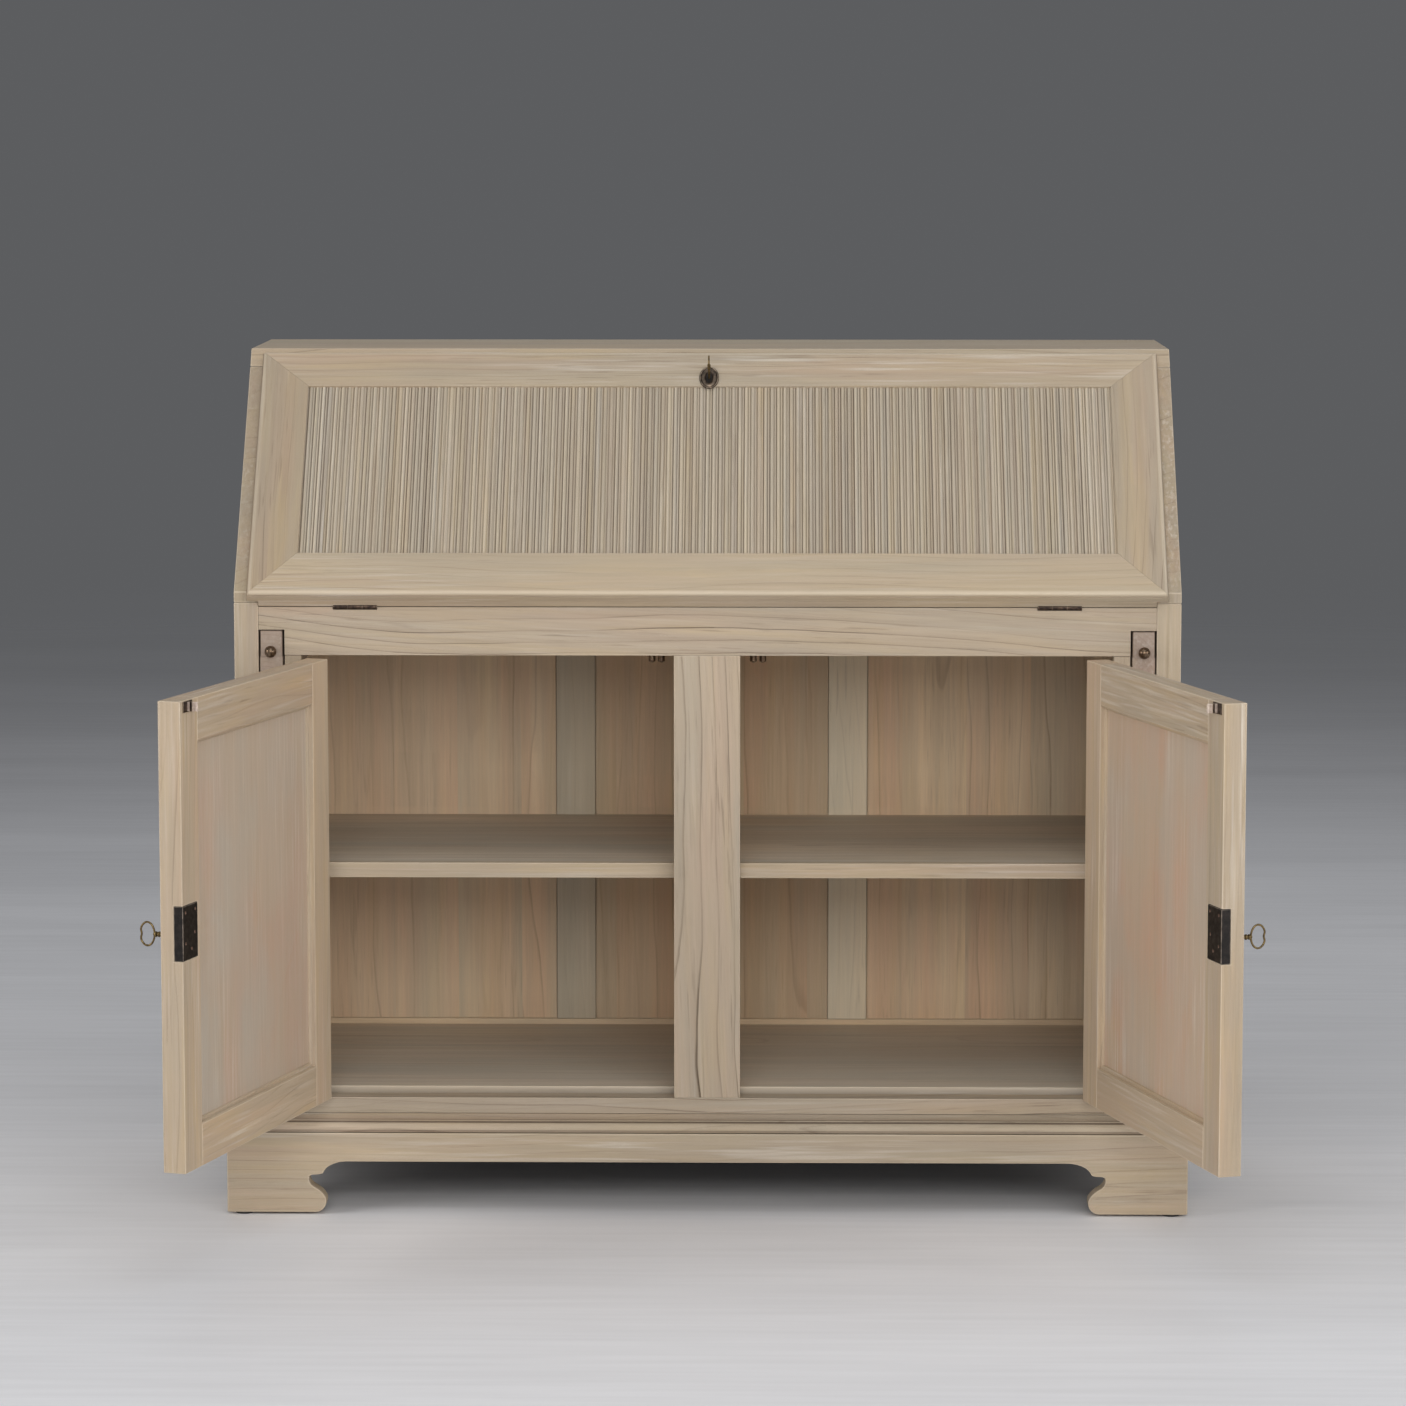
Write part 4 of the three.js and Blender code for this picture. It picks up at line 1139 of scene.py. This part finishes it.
def flap_escutcheon():
    """An oval rosette: a raised rim, a groove, a domed ring, and a thin black disc in the keyhole as painted
    shade for the hole.
    """
    low, high = local_box("flap_escutcheon", FLAP_PLACE)
    half = (high - low) / 2
    scale = (high.z - low.z) / max(height for _, height, _ in ROSETTE)
    section = [(inwards * MM, height * scale) for inwards, height, _ in ROSETTE]
    bm = loft(ellipse_rings(half.x, half.y, section), [rub_and_painted_light for _, _, rub_and_painted_light in ROSETTE], closed=True)
    middle = (low + high) / 2
    place = FLAP_PLACE @ Matrix.Translation((middle.x, middle.y, low.z))
    put(bm, "flap_escutcheon_rosette", BRONZE, "flap", ("flap_escutcheon",), place)
    keyhole_shade = lathe_mesh(KEYHOLE_SHADE, 24)
    bmesh.ops.scale(keyhole_shade, vec=(1, 1, KEYHOLE_SHADE_LONG), verts=keyhole_shade.verts)
    put(keyhole_shade, "flap_keyhole_throat", IRON, "flap", place=place @ UPRIGHT)


def flap_hardware():
    plate = ease(box_mesh(*local_box("flap_lock", FLAP_PLACE)), SOFT)
    put(plate, "flap_lock_case", IRON, "flap", ("flap_lock",), FLAP_PLACE)
    for label in SIDES:
        for node, body in ((f"flap_hinge_leaf_{label}", "carcass"), (f"flap_leaf_{label}", "flap")):
            put(ease(cad_mesh(node), 0.25 * MM, 1), f"{node}_metal", BRONZE, body, (node,))


# ---------------------------------------------------------------- keys
FLAP_KEY = (7.5 * MM, 8 * MM, 2.0 * MM, 0.6)  # the bow's half length and half height, its wire; shaft's scale
DOOR_KEY = (10.2 * MM, 15 * MM, 2.4 * MM, 0.9)
BOW_STEPS = 56
NOTCH_DEEP = 0.22  # of the bow's half length
NOTCH_WIDE = 0.28  # radians
KEY_SHAFT = [  # (radius, along), from inside the bow: two collars, then the shaft to the key's end
    (0, 0), (1.9, 0), (2.0, 1.6), (3.5, 2.0), (3.8, 3.1), (3.5, 4.2), (2.1, 4.7), (2.1, 5.8), (3.5, 6.2),
    (3.8, 7.3), (3.5, 8.4), (2.4, 8.9), (2.3, 10.5), (2.3, 44), (0, 44),
]


def round_bar(points, radius, steps=12):
    """A closed bar of round section along points in the (y, z) plane."""
    rings = []
    count = len(points)
    for i, point in enumerate(points):
        ahead = Vector(points[(i + 1) % count]) - Vector(points[i - 1])
        ahead.normalize()
        out = Vector((0, ahead.z, -ahead.y))
        ring = []
        for k in range(steps):
            angle = 2 * math.pi * k / steps
            sideways = Vector((radius * math.sin(angle), 0, 0))
            ring.append(Vector(point) + out * radius * math.cos(angle) + sideways)
        rings.append(ring)
    return loft(rings, closed=True)


def key(node, place, half_length, half_height, wire, stout):
    """A key with an oval bow, a heart notch at the bow's end, two collars and a shaft. Runs along y."""
    low, high = local_box(node, place)
    bow_y = low.y + half_length
    reach = half_length - wire / 2
    points = []
    for i in range(BOW_STEPS):
        angle = 2 * math.pi * i / BOW_STEPS
        notch = NOTCH_DEEP * reach * math.exp(-(((angle - math.pi) / NOTCH_WIDE) ** 2))
        along = bow_y + (reach - notch) * math.cos(angle)
        points.append((0, along, (half_height - wire / 2) * math.sin(angle)))
    start = bow_y + half_length - wire
    longest = (high.y - start) / MM
    profile = [(r * stout * MM, start + min(y, longest) * MM) for r, y in KEY_SHAFT]
    bm = merge([round_bar(points, wire / 2), lathe_mesh(profile, 24)])
    put(bm, f"{node}_brass", BRASS, node, (node,), place)


def keys():
    low, high = local_box("flap_key", FLAP_PLACE)
    middle = Matrix.Translation((0, (low.y + high.y) / 2, 0))
    key("flap_key", FLAP_PLACE @ middle @ UPRIGHT.inverted(), *FLAP_KEY)
    for label in SIDES:
        node = f"door_key_{label}"
        low, high = local_box(node, door_place(label))
        middle = Matrix.Translation(((low.x + high.x) / 2, 0, (low.z + high.z) / 2))
        key(node, door_place(label) @ middle, *DOOR_KEY)


# ---------------------------------------------------------------- doors
DOOR_FRAME = 50 * MM
LOCK_PLAY = Vector((0.3, 0.3, 0.3)) * MM
BEAD = in_mm([  # (distance in from the opening, height over the panel), after the part that meets the frame
    (1.7, 3.4), (2.2, 2.9), (3.6, 3.0), (4.8, 2.3), (5.4, 1.0), (5.5, 0.0),
])
SCREWS = in_mm([(8, 56), (34, 30), (8, 20), (25, 12), (36, 57)])  # in from the free edge, up the lock
SCREW_HEAD = in_mm([(0, -0.3), (2.1, -0.3), (2.0, 0.05), (1.4, 0.3), (0, 0.4)])
DOOR_ROSETTE = in_mm([
    (0, 0), (0, 0.6), (0.5, 1.1), (1.4, 1.2), (2.2, 0.8), (3.4, 1.3), (5.2, 1.6), (6.4, 1.2), (6.7, 0.3),
    (6.7, 0),
])
STRIKE_IN = 20 * MM  # from the door's free edge
ROLLERS_IN = 9.5 * MM  # behind the closed door
ROLLERS_APART = 11.8 * MM
ROLLER = in_mm([  # (radius, height under the rail), with the ends of its pin
    (0, -12.6), (1.7, -12.6), (1.7, -11.6), (3.5, -11.6), (4.3, -10.9), (4.3, -4.1), (3.5, -3.4), (1.7, -3.4),
    (1.7, -2.0), (0, -2.0),
])
CATCH_PLATE = in_mm([(-11, -6, -2.5), (11, 8, 0)])  # corners, from the middle between the rollers
TONGUE = in_mm([(-1.1, 1), (1.1, 1), (1.1, 10), (1.4, 12), (0, 14), (-1.4, 12), (-1.1, 10)])


def door(label):
    side = SIDES[label]
    place = door_place(label)
    body = f"door_{label}"
    node = f"door_frame_{label}"
    low, high = local_box(node, place)
    hinge_x, free_x = (high.x, low.x) if side > 0 else (low.x, high.x)
    hinge_seam, free_seam = hinge_x - side * DOOR_FRAME, free_x + side * DOOR_FRAME
    open_x = sorted((hinge_seam, free_seam))
    open_z = (low.z + DOOR_FRAME, high.z - DOOR_FRAME)

    def part(name, x, z, along):
        x0, x1 = sorted(x)
        board(f"{body}_{name}", (x0, low.y, z[0]), (x1, high.y, z[1]), along, DOOR_FRAME_WOOD, body, (node,),
              place, front=FACE_WOOD)

    part("hinge_stile", (hinge_x, hinge_seam), (low.z, high.z), "zxy")
    rail_x = (open_x[0] + JOINT_GAP, open_x[1] - JOINT_GAP)
    part("rail_low", rail_x, (low.z, open_z[0]), "xzy")
    part("rail_high", rail_x, (open_z[1], high.z), "xzy")

    # the free stile is cut away round the lock
    lock_low, lock_high = local_box(f"door_lock_{label}", place)
    stile_x = sorted((free_x, free_seam))
    stile = box_mesh((stile_x[0], low.y, low.z), (stile_x[1], high.y, high.z))
    cut_low, cut_high = lock_low - LOCK_PLAY, lock_high + LOCK_PLAY
    notch_x = sorted((cut_low.x if side < 0 else cut_high.x, free_x - side * MM))
    notch = box_mesh((notch_x[0], cut_low.y, cut_low.z), (notch_x[1], high.y + MM, cut_high.z))
    bm = cut_from_log(ease(cut(stile, notch)), f"{body}_free_stile", "zxy")
    put(bm, f"{body}_free_stile", DOOR_FRAME_WOOD, body, (node,), place, FACE_WOOD)

    door_panel(label, open_x, open_z, high.y)
    door_lock(label, lock_low, lock_high)


def door_panel(label, open_x, open_z, face_y):
    """The panel with a stepped bead round it on the inside, and reeds like the flap's outside."""
    node, body, place = f"door_panel_{label}", f"door_{label}", door_place(label)
    low, high = local_box(node, place)
    edge = reeded_edge(low.x, high.x, random.Random(SIDES[label]))
    outline = [(low.x, high.y), *((x, low.y + depth) for x, depth, _ in edge), (high.x, high.y)]
    rubs_and_painted_light = [0.0, *(rub_and_painted_light for _, _, rub_and_painted_light in edge), 0.0]
    rings = [[(x, y, z) for x, y in outline] for z in (low.z, high.z)]
    bm = cut_from_log(loft(rings, rubs_and_painted_light), node, "zxy")
    put(bm, f"{node}_wood", DOOR_WOOD, body, (node,), place, REED_WOOD)

    rise = (face_y - high.y) / MM
    section = in_mm([(0, 0), (0, rise - 0.8), (0.6, rise - 0.4), (1.4, rise - 0.8)]) + BEAD
    corners = [(0, 0), (1, 0), (1, 1), (0, 1)]
    for i, name in enumerate(("low", "side_high_x", "high", "side_low_x")):
        rings = []
        for end_x, end_z in (corners[i], corners[(i + 1) % 4]):
            ring = []
            for inwards, height in section:
                x = open_x[1] - inwards if end_x else open_x[0] + inwards
                z = open_z[1] - inwards if end_z else open_z[0] + inwards
                ring.append((x, high.y + height, z))
            rings.append(ring)
        bm = cut_from_log(loft(rings), f"{body}_bead_{name}", "zxy" if "side" in name else "xzy")
        put(bm, f"{body}_bead_{name}", DOOR_FRAME_WOOD, body, place=place)


def door_lock(label, low, high):
    """The lock's case, and five rusty screws on its face."""
    node, body, place = f"door_lock_{label}", f"door_{label}", door_place(label)
    put(ease(box_mesh(low, high), 0.7 * MM), f"{node}_case", IRON, body, (node,), place)
    side = SIDES[label]
    free_x = low.x if side > 0 else high.x
    for i, (inwards, up) in enumerate(SCREWS):
        at = Matrix.Translation((free_x + side * inwards, high.y, low.z + up))
        put(lathe_mesh(SCREW_HEAD, 20), f"{node}_screw_{i}", RUST, body, place=place @ at)


def door_plates():
    """Escutcheons and hinges."""
    for label in SIDES:
        node = f"door_escutcheon_{label}"
        place = door_place(label)
        low, high = local_box(node, place)
        half, middle = (high - low) / 2, (low + high) / 2
        bm = loft(ellipse_rings(half.x, half.z, DOOR_ROSETTE), closed=True)
        place = place @ Matrix.Translation((middle.x, high.y, middle.z)) @ UPRIGHT
        put(bm, f"{node}_rosette", BRONZE, f"door_{label}", (node,), place)
        for level in ("low", "high"):
            hinge = f"door_hinge_{label}_{level}"
            put(ease(cad_mesh(hinge), 0.15 * MM, 1), f"{hinge}_metal", BRONZE, nodes=(hinge,))


def catches():
    """Under the top rail hangs a pair of upright rollers for each door; a tongue on the door goes between."""
    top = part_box("top_rail")[0].z
    for label, side in SIDES.items():
        place = door_place(label)
        low, high = local_box(f"door_frame_{label}", place)
        strike_x = (low.x if side > 0 else high.x) + side * STRIKE_IN
        pin = place.translation
        middle = Vector((pin.x + strike_x, pin.y + high.y + ROLLERS_IN, top))
        parts = [ease(box_mesh(*(middle + Vector(corner) for corner in CATCH_PLATE)), 0.4 * MM)]
        for k in (-1, 1):
            roller = lathe_mesh(ROLLER, 24)
            turn = Matrix.Translation(middle + Vector((k * ROLLERS_APART / 2, 0, 0))) @ UPRIGHT
            bmesh.ops.transform(roller, matrix=turn, verts=roller.verts)
            parts.append(roller)
        put(merge(parts), f"catch_{label}", KNOB_BRONZE)
        strike(label, strike_x, high.y, high.z)


def strike(label, middle_x, face_y, door_top):
    """A plate near the door's top with the tongue that goes between the rollers, and a collar round it."""
    free = -SIDES[label]
    body, place = f"door_{label}", door_place(label)
    low_z, high_z = door_top - 14 * MM, door_top - 1 * MM

    def block(x0, x1, y0, y1, trim):
        """A box; x towards the free edge and y off the door's face, both in mm, trim off either end."""
        x0, x1 = sorted((middle_x + free * x0 * MM, middle_x + free * x1 * MM))
        return box_mesh((x0, face_y + y0 * MM, low_z + trim * MM), (x1, face_y + y1 * MM, high_z - trim * MM))

    plate = ease(block(-13, 12, -0.4, 1.2, 0), 0.3 * MM)
    put(plate, f"catch_plate_{label}", BRONZE, body, place=place)
    collar = ease(block(-1.4, 1.4, 4.2, 7.2, 0.8), 0.3 * MM)
    put(collar, f"catch_collar_{label}", BRONZE, body, place=place)
    ends = (low_z + 1.2 * MM, high_z - 1.2 * MM)
    rings = [[(middle_x + x, face_y + y, z) for x, y in TONGUE] for z in ends]
    put(ease(loft(rings), 0.3 * MM), f"catch_strike_{label}", NICKEL, body, place=place)


# ---------------------------------------------------------------- the desk
camera()
studio()
floor()
plinth()
base_moulding()
glides()
carcass()
cupboard_back()
gallery()
for side_label in SIDES:
    drawer(f"drawer_{side_label}")
for side_label in SIDES:
    loper(side_label)
flap_frame()
flap_panel()
flap_escutcheon()
flap_hardware()
keys()
for side_label in SIDES:
    door(side_label)
door_plates()
catches()
